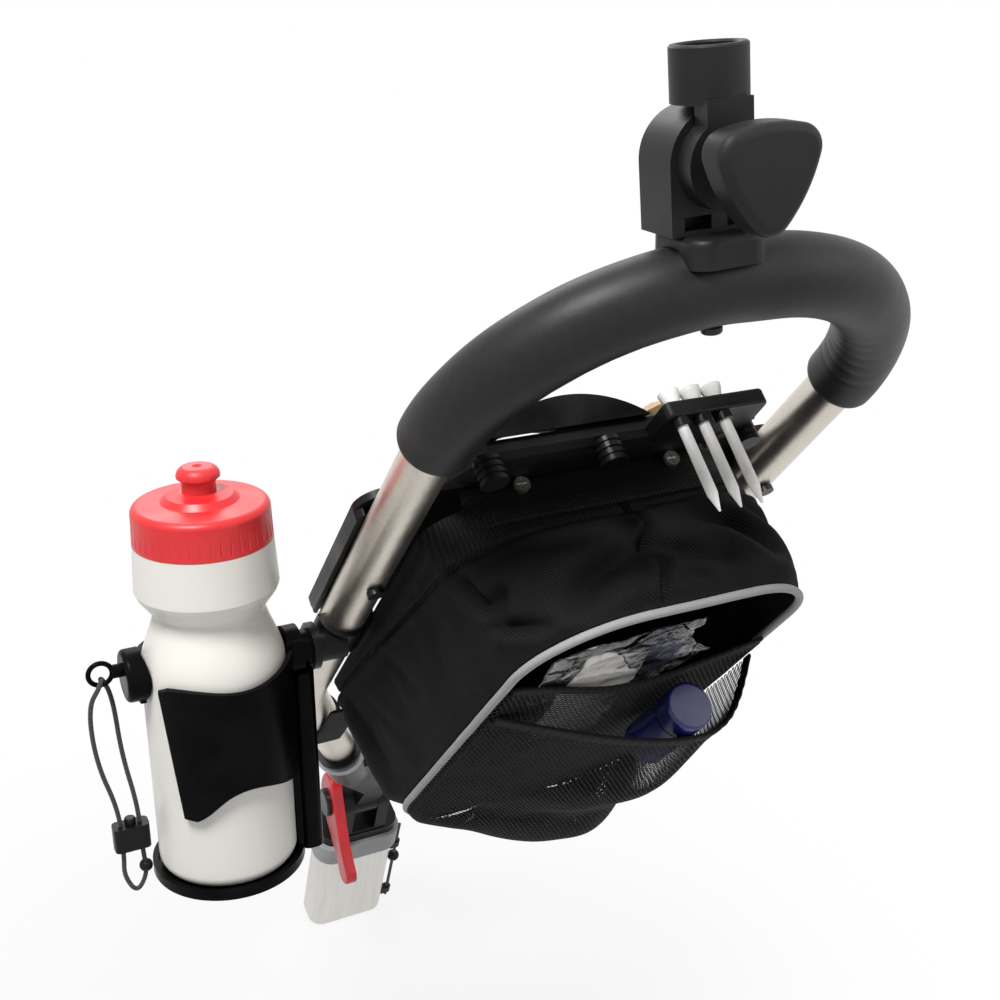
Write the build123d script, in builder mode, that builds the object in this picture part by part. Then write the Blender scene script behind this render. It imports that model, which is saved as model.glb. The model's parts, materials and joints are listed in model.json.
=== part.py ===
"""Handle end of a golf push cart: folding handlebar, umbrella mount, console, bag and bottle."""
import os
from math import asin, atan2, cos, radians, sin, sqrt, tan

from build123d import *

os.makedirs("parts", exist_ok=True)

# Driving dimensions, millimetres and degrees.
# Beam and fold hinge
BEAM_SLOPE = 67.0
BEAM_WIDTH = 67.0
BEAM_DEPTH = 34.0
BEAM_CORNER = 12.0
BEAM_WALL = 2.5
BEAM_LENGTH = 118.0
HINGE_RISE = 160.0
HINGE_HALF = 20.0
KNUCKLE_HALF = 9.7
KNUCKLE_R = 16.0
BOLT_R = 5.0
FIT = 0.05

# Handle loop
HANDLE_SLOPE = 46.3
HANDLE_LENGTH = 715.0
TUBE_D = 25.0
TUBE_WALL = 2.0
GRIP_D = 36.0
LOOP_WIDTH = 222.0
ARCH_FLAT = 8.0
ARCH_R = LOOP_WIDTH / 2 - ARCH_FLAT
BEND_V = 405.0
BEND_R = 120.0
TUBE_END_X = 36.0
TUBE_END_V = 606.0
SOCKET_DEPTH = 60.0
SOCKET_R = 16.5
SOCKET_BAND = 11.0
SCREW_R = 3.0
LEG_BOLT_R = 2.5

# Umbrella mount
MOUNT_X = -19.0
SADDLE_LENGTH = 34.0
SADDLE_DEPTH = 40.0
SADDLE_LOW = 10.0
SADDLE_TOP = 22.0
TILT_Z = 49.0
BLOCK_R = 21.0
BLOCK_BACK = 19.0
BLOCK_FRONT = -8.0
DISC_R = 18.0
DISC_FRONT = -18.0
CUP_R = 15.5
CUP_BORE_R = 12.0
CUP_LOW = 71.5
CUP_TOP = 93.0
KNOB_BACK = -32.0
KNOB_FRONT = -48.0
KNOB_REACH = 27.0
KNOB_BULGE = 4.5
KNOB_CORNER_R = 9.0

# Console
BOARD_V0 = 174.0
BOARD_V1 = 309.0
BOARD_HALF = 125.0
BOARD_LOW = 12.6
BOARD_TOP = 16.6
SKIRT_LOW = 7.6
SKIRT_WALL = 3.2
LEG_BOLTS = ((-LOOP_WIDTH / 2, 232.0), (LOOP_WIDTH / 2, 194.0))
FLANGE_HALF = 70.0
FLANGE_V = 174.0
FLANGE_LOW = -2.4
NOSE_LEFT = -90.0
NOSE_RIGHT = 62.0
NOSE_V = 110.0
LID_LEFT = -84.0
LID_RIGHT = 3.0
LID_RISE = 15.0
LID_WALL = 2.4
LID_DEPTH = 56.0
LID_PIN_S = LID_DEPTH + 1.0
LID_PIN_H = 3.6
LID_PIN_R = 1.5
BAR_LEFT = -4.0
BAR_RIGHT = 52.0
BAR_V = 85.0
BAR_LOW = -14.5
BAR_TOP = -6.5
SLEEVE_LOW = -18.5
SLEEVE_R = 4.2
TEE_X = (3.6, 15.2, 26.8)
TEE_V = 90.0
TEE_LENGTH = 63.0
TEE_R = 2.65
TEE_HEAD_R = 5.3
TEE_TOP = 0.5
TEE_NECK = 10.5
BAND_SCREW_X = 44.0
BAND_SCREW_N = 2.4
PLUG_PLACES = ((-85.0, 113.5), (-23.0, 113.5), (54.0, 117.2))
PLUG_R = 6.8
PLUG_LOW = -20.0
PLUG_LENGTH = 12.5
PLUG_GROOVES = (2.2, 5.6, 9.0)
PENCIL_X = 12.5
PENCIL_R = 3.6
PENCIL_LENGTH = 88.0

# Bag
BAG_BACK = -3.0
BAG_FRONT = -88.0
BAG_BACK_HALF = LOOP_WIDTH / 2 - 16.0
BAG_FRONT_HALF = LOOP_WIDTH / 2 - 31.0
BAG_BACK_V = (171.5, 418.0)
BAG_FRONT_V = (128.0, 426.0)
BAG_BACK_CORNER = 30.0
BAG_FRONT_CORNER = 52.0
BAG_WALL = 2.0
PIPING_R = 2.2
NET_HALF = BAG_FRONT_HALF - 4.0
NET_WALL = 1.2
NET_PEAK_X = 24.0
NET_FULLNESS = 0.62
HEM_WALL = 2.4
# Each row of a net: its place down the legs and how far out of the loop its fullest point is.
INNER_NET = ((209.4, -100.4), (270.0, -101.4), (340.0, -101.4), (396.0, -99.5))
OUTER_NET = ((228.2, -130.8), (268.0, -134.0), (325.0, -134.0), (380.0, -129.0), (415.0, -118.0))
INNER_HEM_V = (202.4, 209.2)
OUTER_HEM_V = (219.2, 228.0)
CANISTER_X = 24.0
CANISTER_V = 211.0
CANISTER_N = -115.7
CANISTER_R = 12.8
CANISTER_LENGTH = 58.0
CANISTER_LID = 15.0
PACKET_SIZE = (60.0, 76.0)
PACKET_PLACE = (-10.0, 184.0)
PACKET_TURN = -23.0
PACKET_N = -96.1
PACKET_WALL = 2.4
STRAP_REACH = 70.0
STRAP_WALL = 2.0

# Bottle and cage
BOTTLE_X = -LOOP_WIDTH / 2 - 74.0
BOTTLE_Y = 198.0
BOTTLE_BASE = -337.0
BOTTLE_R = 37.5
NECK_R = 32.0
WAIST_R = 28.9
SPOUT_R = 8.6
CAP_LOW = 187.0
CAGE_R = 38.4
CAGE_WALL = 3.0
CAGE_PIVOT_Z = 114.0
CAGE_EAR_R = 14.0
CAGE_BASE = 3.1
CAGE_LIP = 5.6
BOSS_Z = 123.0
BOSS_R = 14.0
BOSS_DROP = 4.0
BOSS_REACH = 9.0
STEM_REACH = 14.4
EYELET_R = 6.0
PANEL_TURN = -105.0
SPINE_REACH = 12.8
SPINE_WIDTH = 20.0
PIVOT_R = 4.0
LANYARD_R = 1.25
# The lanyard's route, from the middle of the bottle's base.
LANYARD = (
    (-58.4, -0.6, 119.8),
    (-59.6, -4.8, 118.8),
    (-67.0, -4.4, 108.0),
    (-65.6, -1.6, 74.0),
    (-56.8, 0.0, 42.0),
    (-56.8, 0.0, 14.0),
    (-58.0, 0.4, 2.0),
    (-52.0, 0.2, -11.0),
    (-45.4, -0.2, 1.0),
    (-46.8, 0.0, 14.0),
    (-46.8, 0.0, 42.0),
    (-51.8, 3.0, 74.0),
    (-52.6, 5.6, 106.0),
    (-57.2, 5.0, 118.8),
    (-58.4, 0.6, 119.8),
)
LOCK_PLACE = (-51.8, 0.0, 26.0)
LOCK_SIZE = (19.0, 10.0, 14.0)
LOCK_CORDS = (-5.0, 5.0)
BUTTON_R = 3.0
BEAD_PLACE = (-45.9, -0.1, 5.5)
BEAD_R = 3.6

# Frames shared by every piece
beam_up = Vector(0, -cos(radians(BEAM_SLOPE)), sin(radians(BEAM_SLOPE)))
leg_down = Vector(0, cos(radians(HANDLE_SLOPE)), -sin(radians(HANDLE_SLOPE)))
loop_normal = Vector(0, sin(radians(HANDLE_SLOPE)), cos(radians(HANDLE_SLOPE)))
hinge_point = beam_up * HINGE_RISE
loop_top = hinge_point - leg_down * HANDLE_LENGTH
beam = Plane(origin=(0, 0, 0), x_dir=(1, 0, 0), z_dir=beam_up)
loop = Plane(origin=loop_top, x_dir=(1, 0, 0), z_dir=loop_normal)


def in_loop(x, v, n):
    """World point of a place across, down and out of the handle loop."""
    return loop.from_local_coords(Vector(x, v, n))


def layer(n, x=0.0, v=0.0):
    """Plane parallel to the loop, n above it; sketch axes run across and down the legs."""
    return Plane(origin=in_loop(x, v, n), x_dir=(1, 0, 0), z_dir=loop_normal)


def side(x):
    """Plane across the cart at x; sketch axes run down the legs and out of the loop."""
    return Plane(origin=in_loop(x, 0, 0), x_dir=leg_down, z_dir=(1, 0, 0))


def section(v):
    """Plane square to the legs at v, facing the user; sketch axes run across and out of the loop."""
    return Plane(origin=in_loop(0, v, 0), x_dir=(1, 0, 0), z_dir=leg_down * -1)


def place(x, y, z):
    """World point given from the top centre of the loop."""
    return loop_top + Vector(x, y, z)


# The outline of the tube's centre line in the loop plane.
leg_x = LOOP_WIDTH / 2
tube_points = [
    (-TUBE_END_X, TUBE_END_V),
    (-leg_x, BEND_V),
    (-leg_x, 0),
    (leg_x, 0),
    (leg_x, BEND_V),
    (TUBE_END_X, TUBE_END_V),
]
tube_run = sqrt((leg_x - TUBE_END_X) ** 2 + (TUBE_END_V - BEND_V) ** 2)
tube_in = Vector((leg_x - TUBE_END_X) / tube_run, (TUBE_END_V - BEND_V) / tube_run, 0)
left_tip = in_loop(-TUBE_END_X, TUBE_END_V, 0)
right_tip = in_loop(TUBE_END_X, TUBE_END_V, 0)
left_out = (in_loop(-leg_x, BEND_V, 0) - left_tip).normalized()
right_out = (in_loop(leg_x, BEND_V, 0) - right_tip).normalized()

# The umbrella mount stands upright on the grip, square to the bar there.
mount_turn = asin((-MOUNT_X - (leg_x - ARCH_R)) / ARCH_R)
mount_drop = ARCH_R * (1 - cos(mount_turn))
mount_along = (in_loop(cos(mount_turn), -sin(mount_turn), 0) - loop_top).normalized()
mount_out = Vector(0, 0, 1).cross(mount_along).normalized()
mount_up = mount_along.cross(mount_out)
mount_point = in_loop(MOUNT_X, mount_drop, 0)
mount = Plane(origin=mount_point, x_dir=mount_along, z_dir=mount_up)


def mount_face(y):
    """Plane square to the tilt axis, facing the user; sketch axes run along the bar and up."""
    return Plane(
        origin=mount.from_local_coords(Vector(0, y, 0)), x_dir=mount_along, z_dir=mount_out * -1
    )


tilt = mount_face(0).from_local_coords(Vector(0, TILT_Z, 0))

# Beam and fold hinge
with BuildPart() as main_beam:
    with BuildSketch(beam):
        RectangleRounded(BEAM_WIDTH, BEAM_DEPTH, BEAM_CORNER)
        RectangleRounded(
            BEAM_WIDTH - 2 * BEAM_WALL,
            BEAM_DEPTH - 2 * BEAM_WALL,
            BEAM_CORNER - BEAM_WALL,
            mode=Mode.SUBTRACT,
        )
    extrude(amount=BEAM_LENGTH)
main_beam.part.label = "main_beam"
export_step(main_beam.part, "parts/main_beam.step")

with BuildPart() as beam_collar:
    with BuildSketch(beam.offset(BEAM_LENGTH - 22)):
        RectangleRounded(BEAM_WIDTH + 7, BEAM_DEPTH + 7, BEAM_CORNER + 3.5)
        RectangleRounded(
            BEAM_WIDTH + 2 * FIT, BEAM_DEPTH + 2 * FIT, BEAM_CORNER + FIT, mode=Mode.SUBTRACT
        )
    extrude(amount=21.5)
    rim = beam_collar.faces().sort_by(Axis((0, 0, 0), beam_up))
    chamfer(rim[-1].outer_wire().edges() + rim[0].outer_wire().edges(), 1.2)
beam_collar.part.label = "beam_collar"
export_step(beam_collar.part, "parts/beam_collar.step")

hinge_side = Plane(origin=hinge_point, x_dir=beam.y_dir, z_dir=(1, 0, 0))
with BuildPart() as hinge_block:
    with BuildSketch(beam.offset(BEAM_LENGTH - 30)):
        RectangleRounded(
            BEAM_WIDTH - 2 * BEAM_WALL - 2 * FIT,
            BEAM_DEPTH - 2 * BEAM_WALL - 2 * FIT,
            BEAM_CORNER - BEAM_WALL - FIT,
        )
    extrude(amount=30 + FIT)
    with BuildSketch(beam.offset(BEAM_LENGTH + FIT)):
        RectangleRounded(BEAM_WIDTH, BEAM_DEPTH, BEAM_CORNER)
    extrude(amount=9)
    with BuildSketch(hinge_side.offset(-HINGE_HALF)):
        Circle(KNUCKLE_R)
        with Locations((0, -(HINGE_RISE - BEAM_LENGTH) / 2)):
            Rectangle(2 * KNUCKLE_R, HINGE_RISE - BEAM_LENGTH - 1)
    extrude(amount=2 * HINGE_HALF)
    with BuildSketch(hinge_side.offset(-KNUCKLE_HALF - 0.3)):
        with Locations((0, 2)):
            Rectangle(4 * KNUCKLE_R, 2 * (HINGE_RISE - BEAM_LENGTH - 10))
    extrude(amount=2 * KNUCKLE_HALF + 0.6, mode=Mode.SUBTRACT)
    with BuildSketch(hinge_side.offset(-HINGE_HALF - 9)):
        Circle(9)
    extrude(amount=9.5)
    with BuildSketch(hinge_side.offset(-HINGE_HALF - 10)):
        Circle(BOLT_R + FIT)
    extrude(amount=2 * HINGE_HALF + 20, mode=Mode.SUBTRACT)
hinge_block.part.label = "hinge_block"
export_step(hinge_block.part, "parts/hinge_block.step")

with BuildPart() as hinge_bolt:
    with BuildSketch(hinge_side.offset(-HINGE_HALF - 9.2)):
        Circle(BOLT_R)
    extrude(amount=2 * HINGE_HALF + 9.2 + 8)
    with BuildSketch(hinge_side.offset(-HINGE_HALF - 12.6)):
        Circle(11.5)
    extrude(amount=3.4)
    chamfer(hinge_bolt.faces().sort_by(Axis.X)[0].edges(), 1.0)
hinge_bolt.part.label = "hinge_bolt"
export_step(hinge_bolt.part, "parts/hinge_bolt.step")

with BuildPart() as hinge_nut:
    with BuildSketch(hinge_side.offset(HINGE_HALF + 0.1)):
        RegularPolygon(9, 6)
        Circle(BOLT_R + FIT, mode=Mode.SUBTRACT)
    extrude(amount=7)
hinge_nut.part.label = "hinge_nut"
export_step(hinge_nut.part, "parts/hinge_nut.step")

with BuildPart() as latch_lever:
    with BuildSketch(hinge_side.offset(-HINGE_HALF - 8.8)):
        with BuildLine():
            ThreePointArc((-6, 22), (6, 26.5), (15.5, 18))
            Spline((15.5, 18), (15, -4), (-2, -21), (-24, -32), (-40, -44))
            ThreePointArc((-40, -44), (-54, -42), (-54, -28))
            Spline((-54, -28), (-38, -17), (-22, 0), (-6, 22))
        make_face()
        Circle(9 + FIT, mode=Mode.SUBTRACT)
    extrude(amount=8.5)
    lever_faces = latch_lever.faces().filter_by(Axis.X).sort_by(Axis.X)
    fillet(lever_faces[0].outer_wire().edges(), 1.8)
latch_lever.part.label = "latch_lever"
export_step(latch_lever.part, "parts/latch_lever.step")

# A thin cord with a ball toggle runs down the right side of the beam.
cord_x = BEAM_WIDTH / 2 + 6.5
with BuildPart() as beam_cord:
    with BuildSketch(Plane(beam.from_local_coords(Vector(cord_x, -6, 2)), (1, 0, 0), beam_up)):
        Circle(1.4)
    extrude(amount=BEAM_LENGTH - 12)
beam_cord.part.label = "beam_cord"
export_step(beam_cord.part, "parts/beam_cord.step")

with BuildPart() as cord_ball:
    with Locations(beam.from_local_coords(Vector(cord_x, -6, 62))):
        Sphere(5.2)
    with BuildSketch(Plane(beam.from_local_coords(Vector(cord_x, -6, 54)), (1, 0, 0), beam_up)):
        Circle(1.4 + FIT)
    extrude(amount=16, mode=Mode.SUBTRACT)
cord_ball.part.label = "cord_ball"
export_step(cord_ball.part, "parts/cord_ball.step")

with BuildPart() as cord_clips:
    for rise in (8, BEAM_LENGTH - 40):
        eye = Plane(beam.from_local_coords(Vector(cord_x, -6, rise)), (1, 0, 0), beam_up)
        with BuildSketch(eye):
            Circle(3.2)
            with Locations((-3.2, 0)):
                Rectangle(6.4 - 2 * FIT, 6.4)
            Circle(1.4 + FIT, mode=Mode.SUBTRACT)
        extrude(amount=7)
cord_clips.part.label = "cord_clips"
export_step(cord_clips.part, "parts/cord_clips.step")

# Handle loop
with BuildPart() as handlebar_tube:
    with BuildLine(loop) as tube_path:
        FilletPolyline(*tube_points, radius=[BEND_R, ARCH_R, ARCH_R, BEND_R])
    with BuildSketch(Plane(left_tip, z_dir=left_out)):
        Circle(TUBE_D / 2)
        Circle(TUBE_D / 2 - TUBE_WALL, mode=Mode.SUBTRACT)
    sweep(path=tube_path.line)
    with BuildSketch(mount.offset(-TUBE_D)):
        Circle(3 + FIT)
    extrude(amount=2 * TUBE_D, mode=Mode.SUBTRACT)
    for x, v in LEG_BOLTS:
        with BuildSketch(layer(-TUBE_D, x, v)):
            Circle(2.5 + FIT)
        extrude(amount=2 * TUBE_D, mode=Mode.SUBTRACT)
handlebar_tube.part.label = "handlebar_tube"
export_step(handlebar_tube.part, "parts/handlebar_tube.step")

with BuildPart() as foam_grip:
    with BuildLine(loop) as grip_path:
        grip_left = RadiusArc((-leg_x, ARCH_R), (-leg_x + ARCH_R, 0), -ARCH_R)
        Line(grip_left @ 1, (leg_x - ARCH_R, 0))
        RadiusArc((leg_x - ARCH_R, 0), (leg_x, ARCH_R), -ARCH_R)
    with BuildSketch(Plane(in_loop(-leg_x, ARCH_R, 0), z_dir=leg_down * -1)):
        Circle(GRIP_D / 2)
        Circle(TUBE_D / 2 + FIT, mode=Mode.SUBTRACT)
    sweep(path=grip_path.line)
    grip_ends = foam_grip.faces().sort_by(Axis((0, 0, 0), leg_down))[-2:]
    fillet([face.outer_wire().edges()[0] for face in grip_ends], 2.4)
    with BuildSketch(mount.offset(-GRIP_D)):
        Circle(3 + FIT)
    extrude(amount=2 * GRIP_D, mode=Mode.SUBTRACT)
foam_grip.part.label = "foam_grip"
export_step(foam_grip.part, "parts/foam_grip.step")

knuckle_side = Plane(origin=hinge_point, x_dir=leg_down, z_dir=(1, 0, 0))
with BuildPart() as handle_yoke:
    with BuildSketch(layer(-11.5)):
        Polygon(
            (-TUBE_END_X - 14, TUBE_END_V - 20),
            (TUBE_END_X + 14, TUBE_END_V - 20),
            (TUBE_END_X + 10, TUBE_END_V + 8),
            (KNUCKLE_HALF, HANDLE_LENGTH - 42),
            (KNUCKLE_HALF, HANDLE_LENGTH),
            (-KNUCKLE_HALF, HANDLE_LENGTH),
            (-KNUCKLE_HALF, HANDLE_LENGTH - 42),
            (-TUBE_END_X - 10, TUBE_END_V + 8),
            align=None,
        )
    extrude(amount=23)
    for tip, out in ((left_tip, left_out), (right_tip, right_out)):
        with BuildSketch(Plane(tip - out * 5, z_dir=out)):
            Circle(SOCKET_R)
        extrude(amount=SOCKET_DEPTH + 5)
    with BuildSketch(knuckle_side.offset(-KNUCKLE_HALF)):
        Circle(KNUCKLE_R - 0.4)
    extrude(amount=2 * KNUCKLE_HALF)
    for tip, out in ((left_tip, left_out), (right_tip, right_out)):
        with BuildSketch(Plane(tip - out * FIT, z_dir=out)):
            Circle(TUBE_D / 2 + FIT)
        extrude(amount=SOCKET_DEPTH + 20, mode=Mode.SUBTRACT)
    with BuildSketch(knuckle_side.offset(-2 * KNUCKLE_HALF)):
        Circle(BOLT_R + FIT)
    extrude(amount=4 * KNUCKLE_HALF, mode=Mode.SUBTRACT)
handle_yoke.part.label = "handle_yoke"
export_step(handle_yoke.part, "parts/handle_yoke.step")

with BuildPart() as socket_bands:
    for tip, out in ((left_tip, left_out), (right_tip, right_out)):
        with BuildSketch(Plane(tip + out * (SOCKET_DEPTH - 16), z_dir=out)):
            Circle(SOCKET_R + 2.4)
            Circle(SOCKET_R + FIT, mode=Mode.SUBTRACT)
        extrude(amount=SOCKET_BAND)
socket_bands.part.label = "socket_bands"
export_step(socket_bands.part, "parts/socket_bands.step")

# Umbrella mount
with BuildPart() as umbrella_saddle:
    with BuildSketch(mount.offset(SADDLE_TOP)):
        RectangleRounded(SADDLE_LENGTH, SADDLE_DEPTH, 9)
    extrude(amount=SADDLE_LOW - SADDLE_TOP, taper=-3)
    saddle_low = umbrella_saddle.faces().sort_by(Axis(mount_point, mount_up))
    fillet(saddle_low[-1].edges(), 3)
    with BuildSketch(mount_face(40)):
        with Locations((0, -16)):
            Rectangle(2 * SADDLE_LENGTH, 30)
    extrude(amount=40, mode=Mode.SUBTRACT)
    with BuildLine(loop) as seat_path:
        seat_left = RadiusArc((-leg_x, ARCH_R), (-leg_x + ARCH_R, 0), -ARCH_R)
        Line(seat_left @ 1, (leg_x - ARCH_R, 0))
        RadiusArc((leg_x - ARCH_R, 0), (leg_x, ARCH_R), -ARCH_R)
    with BuildSketch(Plane(in_loop(-leg_x, ARCH_R, 0), z_dir=leg_down * -1)):
        Circle(GRIP_D / 2 + FIT)
    sweep(path=seat_path.line, mode=Mode.SUBTRACT)
    with BuildSketch(mount):
        Circle(3 + FIT)
    extrude(amount=2 * SADDLE_TOP, mode=Mode.SUBTRACT)
umbrella_saddle.part.label = "umbrella_saddle"
export_step(umbrella_saddle.part, "parts/umbrella_saddle.step")

with BuildPart() as saddle_screw:
    with BuildSketch(mount.offset(-GRIP_D / 2 - 0.5)):
        Circle(SCREW_R)
    extrude(amount=GRIP_D / 2 + SADDLE_TOP + 14)
    with BuildSketch(mount.offset(-GRIP_D / 2 - 3.2)):
        Circle(4.6)
    extrude(amount=3)
    fillet(saddle_screw.faces().sort_by(Axis(mount_point, mount_up))[0].edges(), 1.6)
saddle_screw.part.label = "saddle_screw"
export_step(saddle_screw.part, "parts/saddle_screw.step")

with BuildPart() as umbrella_block:
    with BuildSketch(mount_face(BLOCK_BACK)):
        with Locations((0, TILT_Z)):
            Circle(BLOCK_R)
        with Locations((0, (TILT_Z + SADDLE_TOP + FIT) / 2)):
            Rectangle(2 * BLOCK_R, TILT_Z - SADDLE_TOP - FIT)
    extrude(amount=BLOCK_BACK - BLOCK_FRONT)
    fillet(umbrella_block.faces().sort_by(Axis(mount_point, mount_out))[-1].edges(), 1.5)
    with BuildSketch(mount_face(BLOCK_FRONT)):
        with Locations((-9.5, SADDLE_TOP + 4.6), (9.5, SADDLE_TOP + 4.6)):
            Rectangle(12, 5.6)
    extrude(amount=-8, mode=Mode.SUBTRACT)
    with BuildSketch(mount_face(BLOCK_BACK + 1)):
        with Locations((0, TILT_Z)):
            Circle(4 + FIT)
    extrude(amount=60, mode=Mode.SUBTRACT)
    with BuildSketch(mount_face(BLOCK_BACK + 1)):
        with Locations((0, TILT_Z)):
            RegularPolygon(7.6, 6)
    extrude(amount=7, mode=Mode.SUBTRACT)
    with BuildSketch(mount):
        Circle(3 + FIT)
    extrude(amount=SADDLE_TOP + 14 + FIT, mode=Mode.SUBTRACT)
umbrella_block.part.label = "umbrella_block"
export_step(umbrella_block.part, "parts/umbrella_block.step")

with BuildPart() as clamp_bolt:
    with BuildSketch(mount_face(BLOCK_BACK - 5)):
        with Locations((0, TILT_Z)):
            Circle(4)
    extrude(amount=BLOCK_BACK - 5 - KNOB_FRONT - 5)
    with BuildSketch(mount_face(BLOCK_BACK - 0.6)):
        with Locations((0, TILT_Z)):
            RegularPolygon(7.4, 6)
    extrude(amount=5.3)
clamp_bolt.part.label = "clamp_bolt"
export_step(clamp_bolt.part, "parts/clamp_bolt.step")

cup_y = DISC_FRONT + CUP_R
with BuildPart() as umbrella_socket:
    with BuildSketch(mount_face(BLOCK_FRONT - 0.3)):
        with Locations((0, TILT_Z)):
            Circle(DISC_R)
        with Locations((0, (TILT_Z + CUP_LOW + 2) / 2)):
            Rectangle(1.3 * CUP_R, CUP_LOW + 2 - TILT_Z)
    extrude(amount=BLOCK_FRONT - 0.3 - DISC_FRONT)
    with BuildSketch(Plane(mount.from_local_coords(Vector(0, cup_y, CUP_LOW)), mount_along, mount_up)):
        Circle(CUP_R)
    extrude(amount=CUP_TOP - CUP_LOW)
    with BuildSketch(Plane(mount.from_local_coords(Vector(0, cup_y, CUP_LOW + 5)), mount_along, mount_up)):
        Circle(CUP_BORE_R)
    extrude(amount=CUP_TOP - CUP_LOW, mode=Mode.SUBTRACT)
    with BuildSketch(mount_face(BLOCK_BACK)):
        with Locations((0, TILT_Z)):
            Circle(4 + FIT)
    extrude(amount=80, mode=Mode.SUBTRACT)
    rim_face = umbrella_socket.faces().sort_by(Axis(mount_point, mount_up))[-1]
    chamfer(rim_face.edges(), 0.8)
umbrella_socket.part.label = "umbrella_socket"
export_step(umbrella_socket.part, "parts/umbrella_socket.step")


def knob_corner(reach, angle):
    """Place on the knob's face, from the tilt axis."""
    return (reach * cos(radians(angle)), TILT_Z + reach * sin(radians(angle)))


with BuildPart() as clamp_knob:
    with BuildSketch(mount_face(KNOB_BACK)):
        with BuildLine():
            for first, middle, last in ((-90, -30, 30), (30, 90, 150), (150, 210, 270)):
                ThreePointArc(
                    knob_corner(KNOB_REACH, first),
                    knob_corner(KNOB_REACH / 2 + KNOB_BULGE, middle),
                    knob_corner(KNOB_REACH, last),
                )
        make_face()
        fillet(vertices(), KNOB_CORNER_R)
    extrude(amount=KNOB_BACK - KNOB_FRONT)
    knob_faces = clamp_knob.faces().sort_by(Axis(mount_point, mount_out))
    fillet(knob_faces[0].edges(), 4)
    fillet(clamp_knob.faces().sort_by(Axis(mount_point, mount_out))[-1].edges(), 2)
    with BuildSketch(mount_face(DISC_FRONT - 0.3)):
        with Locations((0, TILT_Z)):
            Circle(10)
    extrude(amount=DISC_FRONT - 0.3 - KNOB_BACK + 1)
    with BuildSketch(mount_face(BLOCK_BACK)):
        with Locations((0, TILT_Z)):
            Circle(4 + FIT)
    extrude(amount=BLOCK_BACK - KNOB_FRONT - 4.6, mode=Mode.SUBTRACT)
clamp_knob.part.label = "clamp_knob"
export_step(clamp_knob.part, "parts/clamp_knob.step")

# Console
with BuildPart() as console_board:
    with BuildSketch(layer(BOARD_LOW, v=(BOARD_V0 + BOARD_V1) / 2)):
        RectangleRounded(2 * BOARD_HALF, BOARD_V1 - BOARD_V0, 14)
    extrude(amount=BOARD_TOP - BOARD_LOW)
    with BuildSketch(layer(SKIRT_LOW, v=(BOARD_V0 + BOARD_V1) / 2)):
        RectangleRounded(2 * BOARD_HALF, BOARD_V1 - BOARD_V0 - 16, 6)
        Rectangle(2 * BOARD_HALF - 2 * SKIRT_WALL, 2 * BOARD_V1, mode=Mode.SUBTRACT)
    extrude(amount=BOARD_LOW - SKIRT_LOW + 1)
    with BuildSketch(layer(BOARD_TOP - 1.6, v=(BOARD_V0 + BOARD_V1) / 2)):
        RectangleRounded(2 * BOARD_HALF - 60, BOARD_V1 - BOARD_V0 - 30, 10)
    extrude(amount=4, mode=Mode.SUBTRACT)
    with BuildSketch(layer(FLANGE_LOW, v=FLANGE_V + 1.6)):
        Rectangle(2 * FLANGE_HALF, 3.2)
    extrude(amount=BOARD_LOW - FLANGE_LOW + 1)
    with BuildSketch(section(FLANGE_V + 8)):
        with Locations((-BAND_SCREW_X, BAND_SCREW_N), (BAND_SCREW_X, BAND_SCREW_N)):
            Circle(2 + FIT)
    extrude(amount=20, mode=Mode.SUBTRACT)
    for x, v in LEG_BOLTS:
        with BuildSketch(layer(0, x, v)):
            Circle(2.5 + FIT)
        extrude(amount=BOARD_TOP - 1, mode=Mode.SUBTRACT)
console_board.part.label = "console_board"
export_step(console_board.part, "parts/console_board.step")

with BuildPart() as leg_bolts:
    for x, v in LEG_BOLTS:
        with BuildSketch(layer(-TUBE_D / 2 - 0.6, x, v)):
            Circle(LEG_BOLT_R)
        extrude(amount=TUBE_D / 2 + 0.6 + BOARD_TOP - 1.4)
        with BuildSketch(layer(-TUBE_D / 2 - 3.2, x, v)):
            Circle(4.6)
        extrude(amount=3)
leg_bolts.part.label = "leg_bolts"
export_step(leg_bolts.part, "parts/leg_bolts.step")

nose_rise = atan2(BOARD_TOP - 1, BOARD_V0 - NOSE_V - 2)
nose = Plane(
    origin=in_loop(0, NOSE_V + 2, 1),
    x_dir=(1, 0, 0),
    z_dir=loop_normal * cos(nose_rise) - leg_down * sin(nose_rise),
)


def nose_point(x, s, h):
    """World point across, along and above the sloping shelf of the console."""
    return nose.from_local_coords(Vector(x, s, h))


with BuildPart() as console_nose:
    with BuildSketch(side(NOSE_LEFT)):
        Polygon(
            (NOSE_V, -6),
            (NOSE_V + 4, -8.5),
            (BOARD_V0 - FIT, 9.5),
            (BOARD_V0 - FIT, BOARD_TOP),
            (NOSE_V + 2, 1),
            align=None,
        )
    extrude(amount=NOSE_RIGHT - NOSE_LEFT)
    for x in (LID_LEFT - 5.4, LID_RIGHT + 0.4):
        with BuildSketch(Plane(nose_point(x, LID_PIN_S, 0), x_dir=nose.y_dir, z_dir=(1, 0, 0))):
            with Locations((0, LID_PIN_H)):
                Circle(3.2)
            with Locations((0, LID_PIN_H / 2 - 1)):
                Rectangle(6.4, LID_PIN_H + 2)
            with Locations((0, LID_PIN_H)):
                Circle(LID_PIN_R + FIT, mode=Mode.SUBTRACT)
        extrude(amount=5)
    for s in (22, 48):
        with BuildSketch(Plane(nose_point(PENCIL_X, s, 0), x_dir=(1, 0, 0), z_dir=nose.y_dir * -1)):
            with Locations((0, 2.6)):
                Rectangle(11, 7.2)
            with Locations((0, PENCIL_R + 1)):
                Circle(PENCIL_R + FIT, mode=Mode.SUBTRACT)
                Rectangle(2 * PENCIL_R - 1.4, 14, align=(Align.CENTER, Align.MIN), mode=Mode.SUBTRACT)
        extrude(amount=7)
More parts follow.
